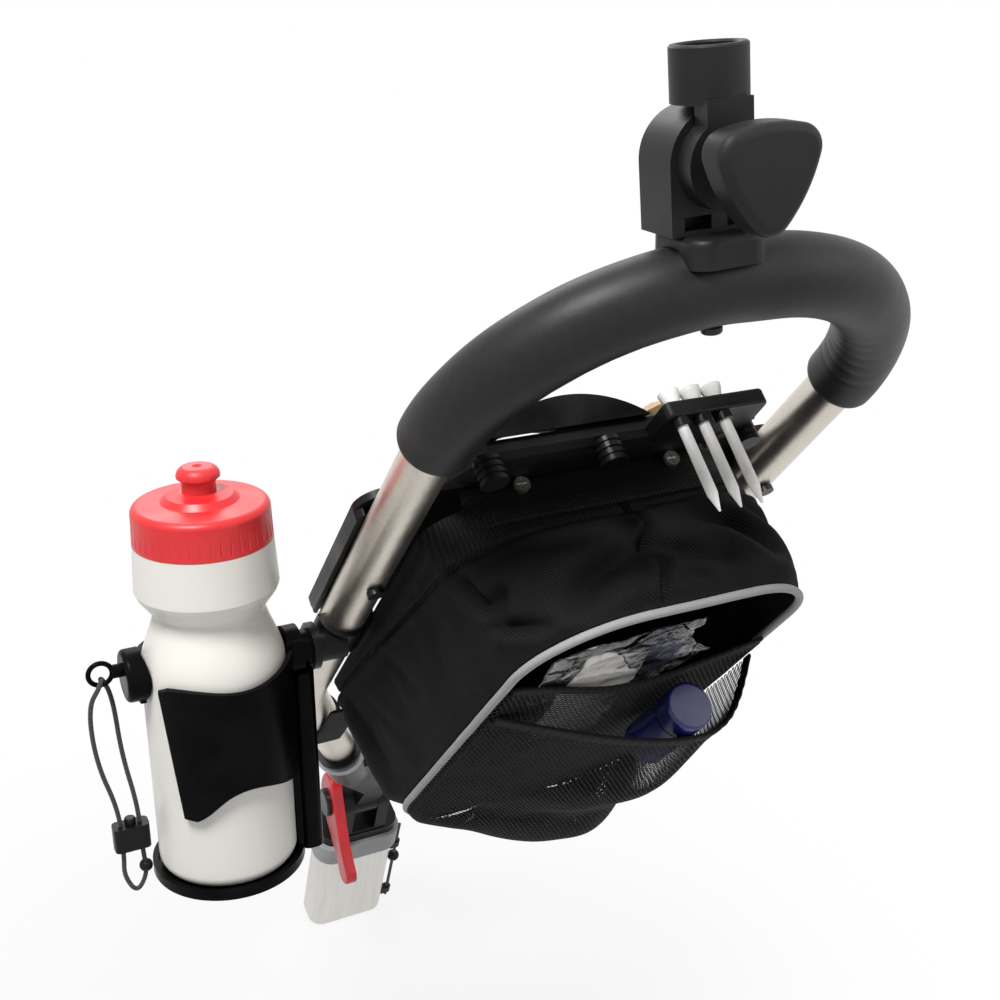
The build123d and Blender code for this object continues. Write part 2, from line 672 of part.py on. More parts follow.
console_nose.part.label = "console_nose"
export_step(console_nose.part, "parts/console_nose.step")

with BuildPart() as scorecard_lid:
    lid_mid = (LID_LEFT + LID_RIGHT) / 2
    with BuildSketch(Plane(nose_point(0, -4, 0.4), x_dir=(1, 0, 0), z_dir=nose.y_dir * -1)):
        with BuildLine():
            ThreePointArc((LID_LEFT, 0), (lid_mid, LID_RISE), (LID_RIGHT, 0))
            Line((LID_RIGHT, 0), (LID_LEFT, 0))
        make_face()
    extrude(amount=-LID_DEPTH)
    with BuildSketch(Plane(nose_point(0, -4 + LID_WALL, 0.4), x_dir=(1, 0, 0), z_dir=nose.y_dir * -1)):
        with BuildLine():
            ThreePointArc(
                (LID_LEFT + 3 * LID_WALL, 0), (lid_mid, LID_RISE - LID_WALL), (LID_RIGHT - 3 * LID_WALL, 0)
            )
            Line((LID_RIGHT - 3 * LID_WALL, 0), (LID_LEFT + 3 * LID_WALL, 0))
        make_face()
    extrude(amount=-LID_DEPTH, mode=Mode.SUBTRACT)
    with BuildSketch(Plane(nose_point(LID_LEFT, LID_PIN_S, 0), x_dir=nose.y_dir, z_dir=(1, 0, 0))):
        with Locations((0, LID_PIN_H)):
            Circle(3.1)
        with Locations((-3.5, LID_PIN_H - 1.2)):
            Rectangle(6, 2.4)
        with Locations((0, LID_PIN_H)):
            Circle(LID_PIN_R + FIT, mode=Mode.SUBTRACT)
    extrude(amount=LID_RIGHT - LID_LEFT)
scorecard_lid.part.label = "scorecard_lid"
export_step(scorecard_lid.part, "parts/scorecard_lid.step")

with BuildPart() as lid_pin:
    with BuildSketch(
        Plane(nose_point(LID_LEFT - 5.4, LID_PIN_S, LID_PIN_H), x_dir=nose.y_dir, z_dir=(1, 0, 0))
    ):
        Circle(LID_PIN_R)
    extrude(amount=LID_RIGHT - LID_LEFT + 10.8)
lid_pin.part.label = "lid_pin"
export_step(lid_pin.part, "parts/lid_pin.step")

with BuildPart() as pencil:
    with BuildSketch(Plane(nose_point(PENCIL_X, 6, PENCIL_R + 1), x_dir=(1, 0, 0), z_dir=nose.y_dir)):
        RegularPolygon(PENCIL_R, 6)
    extrude(amount=PENCIL_LENGTH - 14)
    with BuildSketch(Plane(nose_point(PENCIL_X, 6, PENCIL_R + 1), x_dir=(1, 0, 0), z_dir=nose.y_dir)):
        RegularPolygon(PENCIL_R, 6)
    with BuildSketch(Plane(nose_point(PENCIL_X, -8, PENCIL_R + 1), x_dir=(1, 0, 0), z_dir=nose.y_dir)):
        RegularPolygon(0.5, 6)
    loft()
pencil.part.label = "pencil"
export_step(pencil.part, "parts/pencil.step")

with BuildPart() as tee_bar:
    with BuildSketch(layer(BAR_LOW)):
        with Locations(((BAR_LEFT + BAR_RIGHT) / 2, (BAR_V + NOSE_V - 2 * FIT) / 2)):
            RectangleRounded(BAR_RIGHT - BAR_LEFT, NOSE_V - 2 * FIT - BAR_V, 4)
    extrude(amount=BAR_TOP - BAR_LOW)
    bar_faces = tee_bar.faces().sort_by(Axis(loop_top, loop_normal))
    fillet(bar_faces[-1].edges() + bar_faces[0].edges(), 1.2)
    for x in TEE_X:
        with BuildSketch(layer(SLEEVE_LOW, x, TEE_V)):
            Circle(SLEEVE_R)
        extrude(amount=BAR_LOW - SLEEVE_LOW + 2)
    for x in TEE_X:
        with BuildSketch(layer(SLEEVE_LOW - 1, x, TEE_V)):
            Circle(TEE_R + FIT)
        extrude(amount=BAR_TOP - SLEEVE_LOW + 2, mode=Mode.SUBTRACT)
        with BuildSketch(layer(TEE_TOP - TEE_NECK - 0.3, x, TEE_V)):
            Circle(TEE_R + 1.2)
        extrude(amount=TEE_NECK, mode=Mode.SUBTRACT)
tee_bar.part.label = "tee_bar"
export_step(tee_bar.part, "parts/tee_bar.step")

for number, x in enumerate(TEE_X, 1):
    with BuildPart() as tee:
        tee_side = Plane(in_loop(x, TEE_V, TEE_TOP), x_dir=(1, 0, 0), z_dir=leg_down * -1)
        with BuildSketch(tee_side):
            Polygon(
                (0, -1.6),
                (TEE_HEAD_R - 1.2, 0),
                (TEE_HEAD_R, -0.4),
                (TEE_HEAD_R - 0.3, -2.2),
                (TEE_R + 0.5, -8),
                (TEE_R, -TEE_NECK),
                (TEE_R, -TEE_LENGTH + 9),
                (0.5, -TEE_LENGTH),
                (0, -TEE_LENGTH),
                align=None,
            )
        revolve(axis=Axis(tee_side.origin, loop_normal))
    tee.part.label = f"tee_{number}"
    export_step(tee.part, f"parts/tee_{number}.step")

with BuildPart() as console_plugs:
    for x, v in PLUG_PLACES:
        with BuildSketch(layer(PLUG_LOW, x, v)):
            Circle(PLUG_R)
        extrude(amount=PLUG_LENGTH)
        for rise in PLUG_GROOVES:
            with BuildSketch(layer(PLUG_LOW + rise, x, v)):
                Circle(PLUG_R + 2)
                Circle(PLUG_R - 0.9, mode=Mode.SUBTRACT)
            extrude(amount=1.3, mode=Mode.SUBTRACT)
    with BuildSketch(side(NOSE_LEFT)):
        Polygon(
            (NOSE_V, -6 - FIT),
            (NOSE_V + 4, -8.5 - FIT),
            (BOARD_V0, 9.5 - FIT),
            (BOARD_V0, 30),
            (NOSE_V, 30),
            align=None,
        )
    extrude(amount=NOSE_RIGHT - NOSE_LEFT, mode=Mode.SUBTRACT)
console_plugs.part.label = "console_plugs"
export_step(console_plugs.part, "parts/console_plugs.step")

# Bag
with BuildPart() as bag_shell:
    for half, ends, n, corner in (
        (BAG_BACK_HALF, BAG_BACK_V, BAG_BACK, BAG_BACK_CORNER),
        (BAG_FRONT_HALF, BAG_FRONT_V, BAG_FRONT, BAG_FRONT_CORNER),
    ):
        with BuildSketch(layer(n, v=(ends[0] + ends[1]) / 2)):
            RectangleRounded(2 * half, ends[1] - ends[0], corner)
    loft()
    for half, ends, n, corner in (
        (BAG_BACK_HALF - BAG_WALL, BAG_BACK_V, BAG_BACK - BAG_WALL, BAG_BACK_CORNER - BAG_WALL),
        (BAG_FRONT_HALF - BAG_WALL, BAG_FRONT_V, BAG_FRONT - 0.01, BAG_FRONT_CORNER - BAG_WALL),
    ):
        with BuildSketch(layer(n, v=(ends[0] + ends[1]) / 2)):
            RectangleRounded(2 * half, ends[1] - ends[0] - 2 * BAG_WALL, corner)
    loft(mode=Mode.SUBTRACT)
bag_shell.part.label = "bag_shell"
export_step(bag_shell.part, "parts/bag_shell.step")

wall_lean = (BAG_BACK_V[0] - BAG_FRONT_V[0]) / (BAG_BACK - BAG_FRONT)
with BuildPart() as bag_band:
    band_end = BAG_BACK_V[0] - wall_lean * 16
    with BuildSketch(side(-FLANGE_HALF - 6)):
        Polygon(
            (FLANGE_V - FIT, 7.0),
            (FLANGE_V - 2.4, 7.0),
            (BAG_BACK_V[0] - 2.6, BAG_BACK + 1),
            (band_end - 2.6, BAG_BACK - 16 + 1),
            (band_end - 0.2, BAG_BACK - 16),
            (BAG_BACK_V[0] - 0.2, BAG_BACK + 0.1),
            (FLANGE_V - FIT, BAG_BACK + 0.1),
            align=None,
        )
    extrude(amount=2 * FLANGE_HALF + 12)
    with BuildSketch(section(FLANGE_V + 8)):
        with Locations((-BAND_SCREW_X, BAND_SCREW_N), (BAND_SCREW_X, BAND_SCREW_N)):
            Circle(2 + FIT)
    extrude(amount=20, mode=Mode.SUBTRACT)
bag_band.part.label = "bag_band"
export_step(bag_band.part, "parts/bag_band.step")

with BuildPart() as band_screws:
    for x in (-BAND_SCREW_X, BAND_SCREW_X):
        with BuildSketch(section(FLANGE_V + 7)):
            with Locations((x, BAND_SCREW_N)):
                Circle(2)
        extrude(amount=12.6)
        with BuildSketch(section(FLANGE_V - 5.3)):
            with Locations((x, BAND_SCREW_N)):
                Circle(4.2)
        extrude(amount=2.6)
        with BuildSketch(section(FLANGE_V - 6.9)):
            with Locations((x, BAND_SCREW_N)):
                Rectangle(6, 1)
                Rectangle(1, 6)
        extrude(amount=3, mode=Mode.SUBTRACT)
band_screws.part.label = "band_screws"
export_step(band_screws.part, "parts/band_screws.step")

with BuildPart() as bag_piping:
    piping_n = BAG_FRONT - PIPING_R - FIT
    piping_half = BAG_FRONT_HALF - BAG_WALL / 2
    piping_v = (BAG_FRONT_V[0] + BAG_WALL / 2, BAG_FRONT_V[1] - BAG_WALL / 2)
    with BuildLine(layer(piping_n)) as piping_path:
        FilletPolyline(
            (-piping_half, piping_v[0]),
            (piping_half, piping_v[0]),
            (piping_half, piping_v[1]),
            (-piping_half, piping_v[1]),
            radius=BAG_FRONT_CORNER - BAG_WALL / 2,
            close=True,
        )
    with BuildSketch(
        Plane(in_loop(0, piping_v[0], piping_n), x_dir=loop_normal, z_dir=(1, 0, 0))
    ):
        Circle(PIPING_R)
    sweep(path=piping_path.line)
bag_piping.part.label = "bag_piping"
export_step(bag_piping.part, "parts/bag_piping.step")


def net_arc(v, edge_n, peak_n, wall, peak_x=0.0):
    """Thin arched section of a net, square to the legs at v; the peak may stand to one side."""
    near = (peak_x - NET_HALF) / 2
    far = (peak_x + NET_HALF) / 2
    with BuildSketch(section(v)) as arc:
        with BuildLine():
            for rise in (0, wall):
                Spline(
                    (-NET_HALF, edge_n + rise),
                    (near, edge_n + NET_FULLNESS * (peak_n - edge_n) + rise),
                    (peak_x, peak_n + rise),
                    (far, edge_n + NET_FULLNESS * (peak_n - edge_n) + rise),
                    (NET_HALF, edge_n + rise),
                )
            for end in (-NET_HALF, NET_HALF):
                Line((end, edge_n), (end, edge_n + wall))
        make_face()
    return arc.sketch


net_edge = BAG_FRONT - 2 * PIPING_R - 2 * FIT - NET_WALL - 0.3
outer_edge = net_edge - 3.0

with BuildPart() as inner_net:
    loft(sections=[net_arc(v, net_edge, peak, NET_WALL) for v, peak in INNER_NET])
inner_net.part.label = "inner_net"
export_step(inner_net.part, "parts/inner_net.step")

with BuildPart() as inner_hem:
    loft(sections=[net_arc(v, net_edge, INNER_NET[0][1] - 0.6, HEM_WALL) for v in INNER_HEM_V])
inner_hem.part.label = "inner_hem"
export_step(inner_hem.part, "parts/inner_hem.step")

with BuildPart() as outer_net:
    loft(sections=[net_arc(v, outer_edge, peak, NET_WALL, NET_PEAK_X) for v, peak in OUTER_NET])
outer_net.part.label = "outer_net"
export_step(outer_net.part, "parts/outer_net.step")

with BuildPart() as outer_hem:
    loft(
        sections=[
            net_arc(v, outer_edge, OUTER_NET[0][1] - 0.6, HEM_WALL, NET_PEAK_X) for v in OUTER_HEM_V
        ]
    )
outer_hem.part.label = "outer_hem"
export_step(outer_hem.part, "parts/outer_hem.step")

# Straps tie the bottom of the bag to the legs.
for name, turn in (("left_strap", -1), ("right_strap", 1)):
    with BuildPart() as strap:
        ring_point = in_loop(turn * (leg_x - tube_in.X * STRAP_REACH), BEND_V + tube_in.Y * STRAP_REACH, 0)
        ring_axis = left_out if turn < 0 else right_out
        with BuildSketch(Plane(ring_point - ring_axis * 11, z_dir=ring_axis)):
            Circle(TUBE_D / 2 + STRAP_WALL)
        extrude(amount=22)
        with BuildSketch(layer(-TUBE_D / 2 - 2, turn * 84, 452)):
            Rectangle(20, 62)
        extrude(amount=1.8)
        with BuildSketch(Plane(ring_point - ring_axis * 80, z_dir=ring_axis)):
            Circle(TUBE_D / 2 + FIT)
        extrude(amount=160, mode=Mode.SUBTRACT)
    strap.part.label = name
    export_step(strap.part, f"parts/{name}.step")

# What lies in the pockets
with BuildPart() as blue_canister:
    with BuildSketch(section(CANISTER_V + CANISTER_LENGTH)):
        with Locations((CANISTER_X, CANISTER_N)):
            Circle(CANISTER_R)
    extrude(amount=CANISTER_LENGTH)
    canister_ends = blue_canister.faces().sort_by(Axis(loop_top, leg_down))
    fillet(canister_ends[0].edges() + canister_ends[-1].edges(), 1.8)
    with BuildSketch(section(CANISTER_V + CANISTER_LID)):
        with Locations((CANISTER_X, CANISTER_N)):
            Circle(CANISTER_R + 1)
            Circle(CANISTER_R - 0.7, mode=Mode.SUBTRACT)
    extrude(amount=1.0, mode=Mode.SUBTRACT)
blue_canister.part.label = "blue_canister"
export_step(blue_canister.part, "parts/blue_canister.step")

with BuildPart() as clear_packet:
    with BuildSketch(layer(PACKET_N, *PACKET_PLACE)):
        RectangleRounded(*PACKET_SIZE, 3, rotation=PACKET_TURN)
    extrude(amount=PACKET_WALL)
clear_packet.part.label = "clear_packet"
export_step(clear_packet.part, "parts/clear_packet.step")

# Bottle
bottle_frame = Plane(origin=place(BOTTLE_X, BOTTLE_Y, BOTTLE_BASE))
bottle_axis = Axis(bottle_frame.origin, (0, 0, 1))
bottle_side = Plane(origin=bottle_frame.origin, x_dir=(1, 0, 0), z_dir=(0, -1, 0))

with BuildPart() as bottle:
    with BuildSketch(bottle_side):
        with BuildLine():
            Polyline((0, 2.4), (0, 0), (BOTTLE_R - 6, 0))
            RadiusArc((BOTTLE_R - 6, 0), (BOTTLE_R, 7), -7.2)
            Line((BOTTLE_R, 7), (BOTTLE_R, 114))
            Spline((BOTTLE_R, 114), (BOTTLE_R - 1.2, 126), (BOTTLE_R - 5.6, 138), (WAIST_R, 147))
            RadiusArc((WAIST_R, 147), (WAIST_R + 1.6, 151.5), 5)
            Polyline((WAIST_R + 1.6, 151.5), (BOTTLE_R - 1.6, 159), (BOTTLE_R - 0.4, 162))
            Line((BOTTLE_R - 0.4, 162), (BOTTLE_R - 1.8, CAP_LOW - 0.3))
            Polyline(
                (BOTTLE_R - 1.8, CAP_LOW - 0.3),
                (NECK_R, CAP_LOW - 0.3),
                (NECK_R, CAP_LOW + 14.3),
                (NECK_R - 2, CAP_LOW + 14.3),
                (NECK_R - 2, CAP_LOW - 6),
                (BOTTLE_R - 4, CAP_LOW - 12),
                (BOTTLE_R - 3, 163),
                (WAIST_R - 2.2, 152),
                (WAIST_R - 2.2, 144),
                (BOTTLE_R - 3, 118),
                (BOTTLE_R - 2.2, 112),
                (BOTTLE_R - 2.2, 8),
                (BOTTLE_R - 7, 2.4),
                (0, 2.4),
            )
        make_face()
    revolve(axis=bottle_axis)
bottle.part.label = "bottle"
export_step(bottle.part, "parts/bottle.step")

with BuildPart() as bottle_cap:
    with BuildSketch(bottle_side):
        with BuildLine():
            Polyline(
                (NECK_R + FIT, CAP_LOW),
                (BOTTLE_R - 1.8, CAP_LOW),
                (BOTTLE_R - 2.4, CAP_LOW + 16.5),
            )
            RadiusArc((BOTTLE_R - 2.4, CAP_LOW + 16.5), (BOTTLE_R - 6.2, CAP_LOW + 20), -4)
            Polyline(
                (BOTTLE_R - 6.2, CAP_LOW + 20),
                (20, CAP_LOW + 21),
                (17, CAP_LOW + 24),
                (SPOUT_R + 1.6, CAP_LOW + 25.5),
                (SPOUT_R + FIT, CAP_LOW + 25.5),
                (SPOUT_R + FIT, CAP_LOW + 15),
                (NECK_R + FIT, CAP_LOW + 15),
                (NECK_R + FIT, CAP_LOW),
            )
        make_face()
    revolve(axis=bottle_axis)
    with BuildSketch(bottle_frame.offset(CAP_LOW + 2)):
        with PolarLocations(BOTTLE_R - 1.2, 44):
            Circle(1.1)
    extrude(amount=13, mode=Mode.SUBTRACT)
bottle_cap.part.label = "bottle_cap"
export_step(bottle_cap.part, "parts/bottle_cap.step")

with BuildPart() as bottle_spout:
    with BuildSketch(bottle_side):
        with BuildLine():
            Polyline(
                (0, CAP_LOW + 15.5),
                (SPOUT_R, CAP_LOW + 15.5),
                (SPOUT_R, CAP_LOW + 31),
                (11, CAP_LOW + 33),
            )
            RadiusArc((11, CAP_LOW + 33), (7, CAP_LOW + 38.6), -5)
            Polyline((7, CAP_LOW + 38.6), (2.6, CAP_LOW + 38.6), (0, CAP_LOW + 37), (0, CAP_LOW + 15.5))
        make_face()
    revolve(axis=bottle_axis)
bottle_spout.part.label = "bottle_spout"
export_step(bottle_spout.part, "parts/bottle_spout.step")

# Bottle cage
ear_face = BOTTLE_X + CAGE_R
bracket_face = -LOOP_WIDTH / 2 - TUBE_D / 2 - 9.5
pivot_side = Plane(
    origin=place(0, BOTTLE_Y, BOTTLE_BASE + CAGE_PIVOT_Z), x_dir=(0, 1, 0), z_dir=(1, 0, 0)
)
boss_side = Plane(
    origin=place(BOTTLE_X - CAGE_R, BOTTLE_Y, BOTTLE_BASE + BOSS_Z - BOSS_DROP),
    x_dir=(0, 1, 0),
    z_dir=(1, 0, 0),
)
eyelet_point = place(BOTTLE_X - CAGE_R - STEM_REACH - EYELET_R + 0.4, BOTTLE_Y, BOTTLE_BASE + BOSS_Z)
panel_turn = radians(PANEL_TURN)
panel_view = Plane(
    origin=bottle_frame.origin,
    x_dir=(-sin(panel_turn), cos(panel_turn), 0),
    z_dir=(cos(panel_turn), sin(panel_turn), 0),
)

with BuildPart() as bottle_cage:
    with BuildSketch(panel_view):
        with BuildLine():
            Line((-28, 116.5), (-23, 119.5))
            Spline((-23, 119.5), (-6, 119), (15.5, 116), (30, 117.5), (44, 124))
            Line((44, 124), (44, 50))
            Spline((44, 50), (30, 56), (15, 60.5), (4, 58), (-7, 49.5), (-14, 45))
            Line((-14, 45), (-20.5, 46))
            Line((-20.5, 46), (-28, 116.5))
        make_face()
    extrude(amount=60)
    with BuildSketch(bottle_frame.offset(-CAGE_BASE)):
        Rectangle(120, 120)
    extrude(amount=CAGE_LIP)
    with BuildSketch(bottle_frame.offset(-CAGE_BASE)):
        with Locations((CAGE_R, 0)):
            Rectangle(2 * CAGE_WALL + 14, 34)
    extrude(amount=CAGE_PIVOT_Z + CAGE_BASE)
    with BuildSketch(bottle_frame.offset(BOSS_Z - 18)):
        with Locations((0, 30)):
            Rectangle(120, 74)
    extrude(amount=18)
    with BuildSketch(bottle_frame.offset(-CAGE_BASE)):
        Circle(CAGE_R + CAGE_WALL)
        Circle(CAGE_R, mode=Mode.SUBTRACT)
    extrude(amount=BOSS_Z + 10, mode=Mode.INTERSECT)
    with BuildSketch(bottle_frame.offset(-CAGE_BASE)):
        Circle(CAGE_R + CAGE_WALL / 2)
        with Locations((CAGE_R + SPINE_REACH / 2, -4)):
            RectangleRounded(SPINE_REACH, SPINE_WIDTH, 5)
    extrude(amount=CAGE_BASE - 0.1)
    with BuildSketch(bottle_frame.offset(-CAGE_BASE)):
        with Locations((CAGE_R + SPINE_REACH / 2, -4)):
            RectangleRounded(SPINE_REACH, SPINE_WIDTH, 5)
    extrude(amount=CAGE_PIVOT_Z - 6)
    with BuildSketch(pivot_side.offset(ear_face - 6)):
        Circle(CAGE_EAR_R)
    extrude(amount=bracket_face - ear_face)
    with BuildSketch(pivot_side.offset(ear_face)):
        Circle(CAGE_EAR_R - 4)
    extrude(amount=bracket_face - 0.3 - ear_face)
    with BuildSketch(boss_side.offset(-BOSS_REACH)):
        Circle(BOSS_R)
    extrude(amount=BOSS_REACH + 4)
    fillet(bottle_cage.faces().sort_by(Axis.X)[0].edges(), 2.5)
    with BuildSketch(boss_side.offset(-STEM_REACH)):
        with Locations((0, BOSS_DROP)):
            Circle(3.6)
    extrude(amount=STEM_REACH)
    with BuildSketch(bottle_frame):
        Circle(CAGE_R)
    extrude(amount=200, mode=Mode.SUBTRACT)
    with BuildSketch(pivot_side.offset(bracket_face)):
        Circle(PIVOT_R + FIT)
    extrude(amount=ear_face + 4 - bracket_face, mode=Mode.SUBTRACT)
    with BuildSketch(pivot_side.offset(ear_face - 10)):
        Circle(7.4)
    extrude(amount=15, mode=Mode.SUBTRACT)
    with BuildSketch(Plane(eyelet_point + Vector(EYELET_R, 0, 0), x_dir=(1, 0, 0), z_dir=(0, 0, 1))):
        Circle(1.3)
    revolve(axis=Axis(eyelet_point, (0, 1, 0)))
bottle_cage.part.label = "bottle_cage"
export_step(bottle_cage.part, "parts/bottle_cage.step")

with BuildPart() as pivot_bolt:
    with BuildSketch(pivot_side.offset(ear_face + 0.9)):
        Circle(7)
    extrude(amount=3.8)
    with BuildSketch(pivot_side.offset(ear_face + 4)):
        Circle(PIVOT_R)
    extrude(amount=bracket_face - ear_face - 4 + 11)
    with BuildSketch(pivot_side.offset(ear_face)):
        RegularPolygon(3, 6)
    extrude(amount=3, mode=Mode.SUBTRACT)
pivot_bolt.part.label = "pivot_bolt"
export_step(pivot_bolt.part, "parts/pivot_bolt.step")

with BuildPart() as cage_bracket:
    pivot_local = loop.to_local_coords(pivot_side.origin)
    with BuildSketch(section(pivot_local.Y + 13)):
        with Locations((-leg_x, 0)):
            Circle(TUBE_D / 2 + 3)
            with Locations((0, 21)):
                Rectangle(60, 39, mode=Mode.SUBTRACT)
    extrude(amount=26)
    with BuildSketch(pivot_side.offset(bracket_face)):
        Circle(CAGE_EAR_R - 1)
    extrude(amount=4)
    with BuildSketch(pivot_side.offset(bracket_face)):
        Circle(CAGE_EAR_R - 4)
    extrude(amount=20)
    with BuildSketch(section(pivot_local.Y + 60)):
        with Locations((-leg_x, 0)):
            Circle(TUBE_D / 2 + FIT)
    extrude(amount=120, mode=Mode.SUBTRACT)
    with BuildSketch(layer(1.5, -leg_x, pivot_local.Y)):
        Rectangle(80, 80)
    extrude(amount=30, mode=Mode.SUBTRACT)
    with BuildSketch(pivot_side.offset(bracket_face - 1)):
        Circle(PIVOT_R + FIT)
    extrude(amount=12.2, mode=Mode.SUBTRACT)
cage_bracket.part.label = "cage_bracket"
export_step(cage_bracket.part, "parts/cage_bracket.step")

# Lanyard from the cage's eyelet, with its lock and bead
def bend_radii(points, share=0.45):
    """Largest tidy bend at each inner point of a cord's route."""
    radii = []
    for before, here, after in zip(points, points[1:], points[2:]):
        first = Vector(*here) - Vector(*before)
        second = Vector(*after) - Vector(*here)
        turn = radians(first.get_angle(second))
        radii.append(share * min(first.length, second.length) / tan(turn / 2))
    return radii


lanyard_points = [bottle_frame.from_local_coords(Vector(*point)) for point in LANYARD]
lanyard_radii = bend_radii(LANYARD)
print("lanyard bend radii, mm:", [round(radius, 1) for radius in lanyard_radii])
lanyard_start = (lanyard_points[1] - lanyard_points[0]).normalized()
with BuildPart() as lanyard:
    with BuildLine() as lanyard_path:
        FilletPolyline(*lanyard_points, radius=lanyard_radii)
    with BuildSketch(Plane(lanyard_points[0], z_dir=lanyard_start)):
        Circle(LANYARD_R)
    sweep(path=lanyard_path.line)
lanyard.part.label = "lanyard"
export_step(lanyard.part, "parts/lanyard.step")

lock_point = bottle_frame.from_local_coords(Vector(*LOCK_PLACE))
with BuildPart() as cord_lock:
    with Locations(lock_point):
        Box(*LOCK_SIZE)
    fillet(cord_lock.edges().filter_by(Axis.Z), 3)
    for x in LOCK_CORDS:
        with BuildSketch(Plane(lock_point + Vector(x, 0, -LOCK_SIZE[2]))):
            Circle(LANYARD_R + FIT)
        extrude(amount=2 * LOCK_SIZE[2], mode=Mode.SUBTRACT)
    with BuildSketch(Plane(lock_point + Vector(0, 0, -4.6))):
        Circle(BUTTON_R + FIT)
    extrude(amount=LOCK_SIZE[2], mode=Mode.SUBTRACT)
cord_lock.part.label = "cord_lock"
export_step(cord_lock.part, "parts/cord_lock.step")

with BuildPart() as lock_button:
    with BuildSketch(Plane(lock_point + Vector(0, 0, -1))):
        Circle(BUTTON_R)
    extrude(amount=12)
    fillet(lock_button.faces().sort_by(Axis.Z)[-1].edges(), 1)
lock_button.part.label = "lock_button"
export_step(lock_button.part, "parts/lock_button.step")

with BuildPart() as lanyard_bead:
    with Locations(bottle_frame.from_local_coords(Vector(*BEAD_PLACE))):
        Sphere(BEAD_R)
    with BuildLine() as bead_path:
        FilletPolyline(*lanyard_points, radius=lanyard_radii)
    with BuildSketch(Plane(lanyard_points[0], z_dir=lanyard_start)):
        Circle(LANYARD_R + FIT)
    sweep(path=bead_path.line, mode=Mode.SUBTRACT)
lanyard_bead.part.label = "lanyard_bead"
export_step(lanyard_bead.part, "parts/lanyard_bead.step")
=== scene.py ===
import bpy
import bmesh
import json
from math import sin, cos, pi, sqrt, radians, exp
from mathutils import Vector, Matrix, noise


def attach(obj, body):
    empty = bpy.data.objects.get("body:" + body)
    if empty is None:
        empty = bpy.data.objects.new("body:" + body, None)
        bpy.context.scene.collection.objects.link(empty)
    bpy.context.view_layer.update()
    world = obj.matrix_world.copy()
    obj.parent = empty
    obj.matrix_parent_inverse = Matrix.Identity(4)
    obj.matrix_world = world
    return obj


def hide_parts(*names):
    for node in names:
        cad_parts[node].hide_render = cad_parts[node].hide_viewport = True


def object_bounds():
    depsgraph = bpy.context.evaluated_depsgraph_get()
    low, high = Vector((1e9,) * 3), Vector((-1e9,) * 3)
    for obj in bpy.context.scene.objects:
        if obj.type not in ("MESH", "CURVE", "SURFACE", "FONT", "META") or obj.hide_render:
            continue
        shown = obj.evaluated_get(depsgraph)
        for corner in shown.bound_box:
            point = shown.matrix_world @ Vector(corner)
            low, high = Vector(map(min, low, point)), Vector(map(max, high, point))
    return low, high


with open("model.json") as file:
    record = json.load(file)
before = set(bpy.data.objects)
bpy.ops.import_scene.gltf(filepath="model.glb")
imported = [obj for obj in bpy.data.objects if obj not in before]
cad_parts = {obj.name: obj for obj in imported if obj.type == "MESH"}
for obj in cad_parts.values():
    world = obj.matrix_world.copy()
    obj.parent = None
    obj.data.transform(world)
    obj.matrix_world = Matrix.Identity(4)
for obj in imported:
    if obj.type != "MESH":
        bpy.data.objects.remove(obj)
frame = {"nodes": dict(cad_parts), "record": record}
cad_low, cad_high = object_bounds()
nodes = frame["nodes"]

# Frames of the part: the handle's plane runs across, down the legs and out of its upper side.
handle_slope = radians(46.3)
handle_length = 0.715
beam_slope = radians(67)
hinge_rise = 0.160
leg_down = Vector((0, cos(handle_slope), -sin(handle_slope)))
loop_out = Vector((0, sin(handle_slope), cos(handle_slope)))
beam_up = Vector((0, -cos(beam_slope), sin(beam_slope)))
beam_front = Vector((0, sin(beam_slope), cos(beam_slope)))
loop_top = beam_up * hinge_rise - leg_down * handle_length
bottle_base = loop_top + Vector((-0.185, 0.198, -0.337))


def loop(x, v, n):
    """Place across, down and out of the handle loop, in millimetres."""
    return loop_top + Vector((x, 0, 0)) / 1000 + leg_down * (v / 1000) + loop_out * (n / 1000)


def beam(x, y, z):
    """Place on the beam: across, out of its front and up it, in millimetres."""
    return Vector((x, 0, 0)) / 1000 + beam_front * (y / 1000) + beam_up * (z / 1000)


def ripple(x, y, z, scale, seed=0.0):
    """Smooth noise about 0, the same on each run."""
    return noise.noise(Vector((x / scale + seed, y / scale - seed, z / scale + 2 * seed)))


def smooth(a, b, t):
    """Rises from 0 to 1 as t goes from a to b, with level ends."""
    t = min(1.0, max(0.0, (t - a) / (b - a)))
    return t * t * (3 - 2 * t)


# Materials


def add_node(tree, kind, inputs=(), **settings):
    """A shader node with its settings, each input given as a value or as the socket that feeds it."""
    made = tree.nodes.new("ShaderNode" + kind)
    for key, value in settings.items():
        setattr(made, key, value)
    for socket, value in dict(inputs).items():
        if isinstance(value, bpy.types.NodeSocket):
            tree.links.new(value, made.inputs[socket])
        else:
            made.inputs[socket].default_value = value
    return made


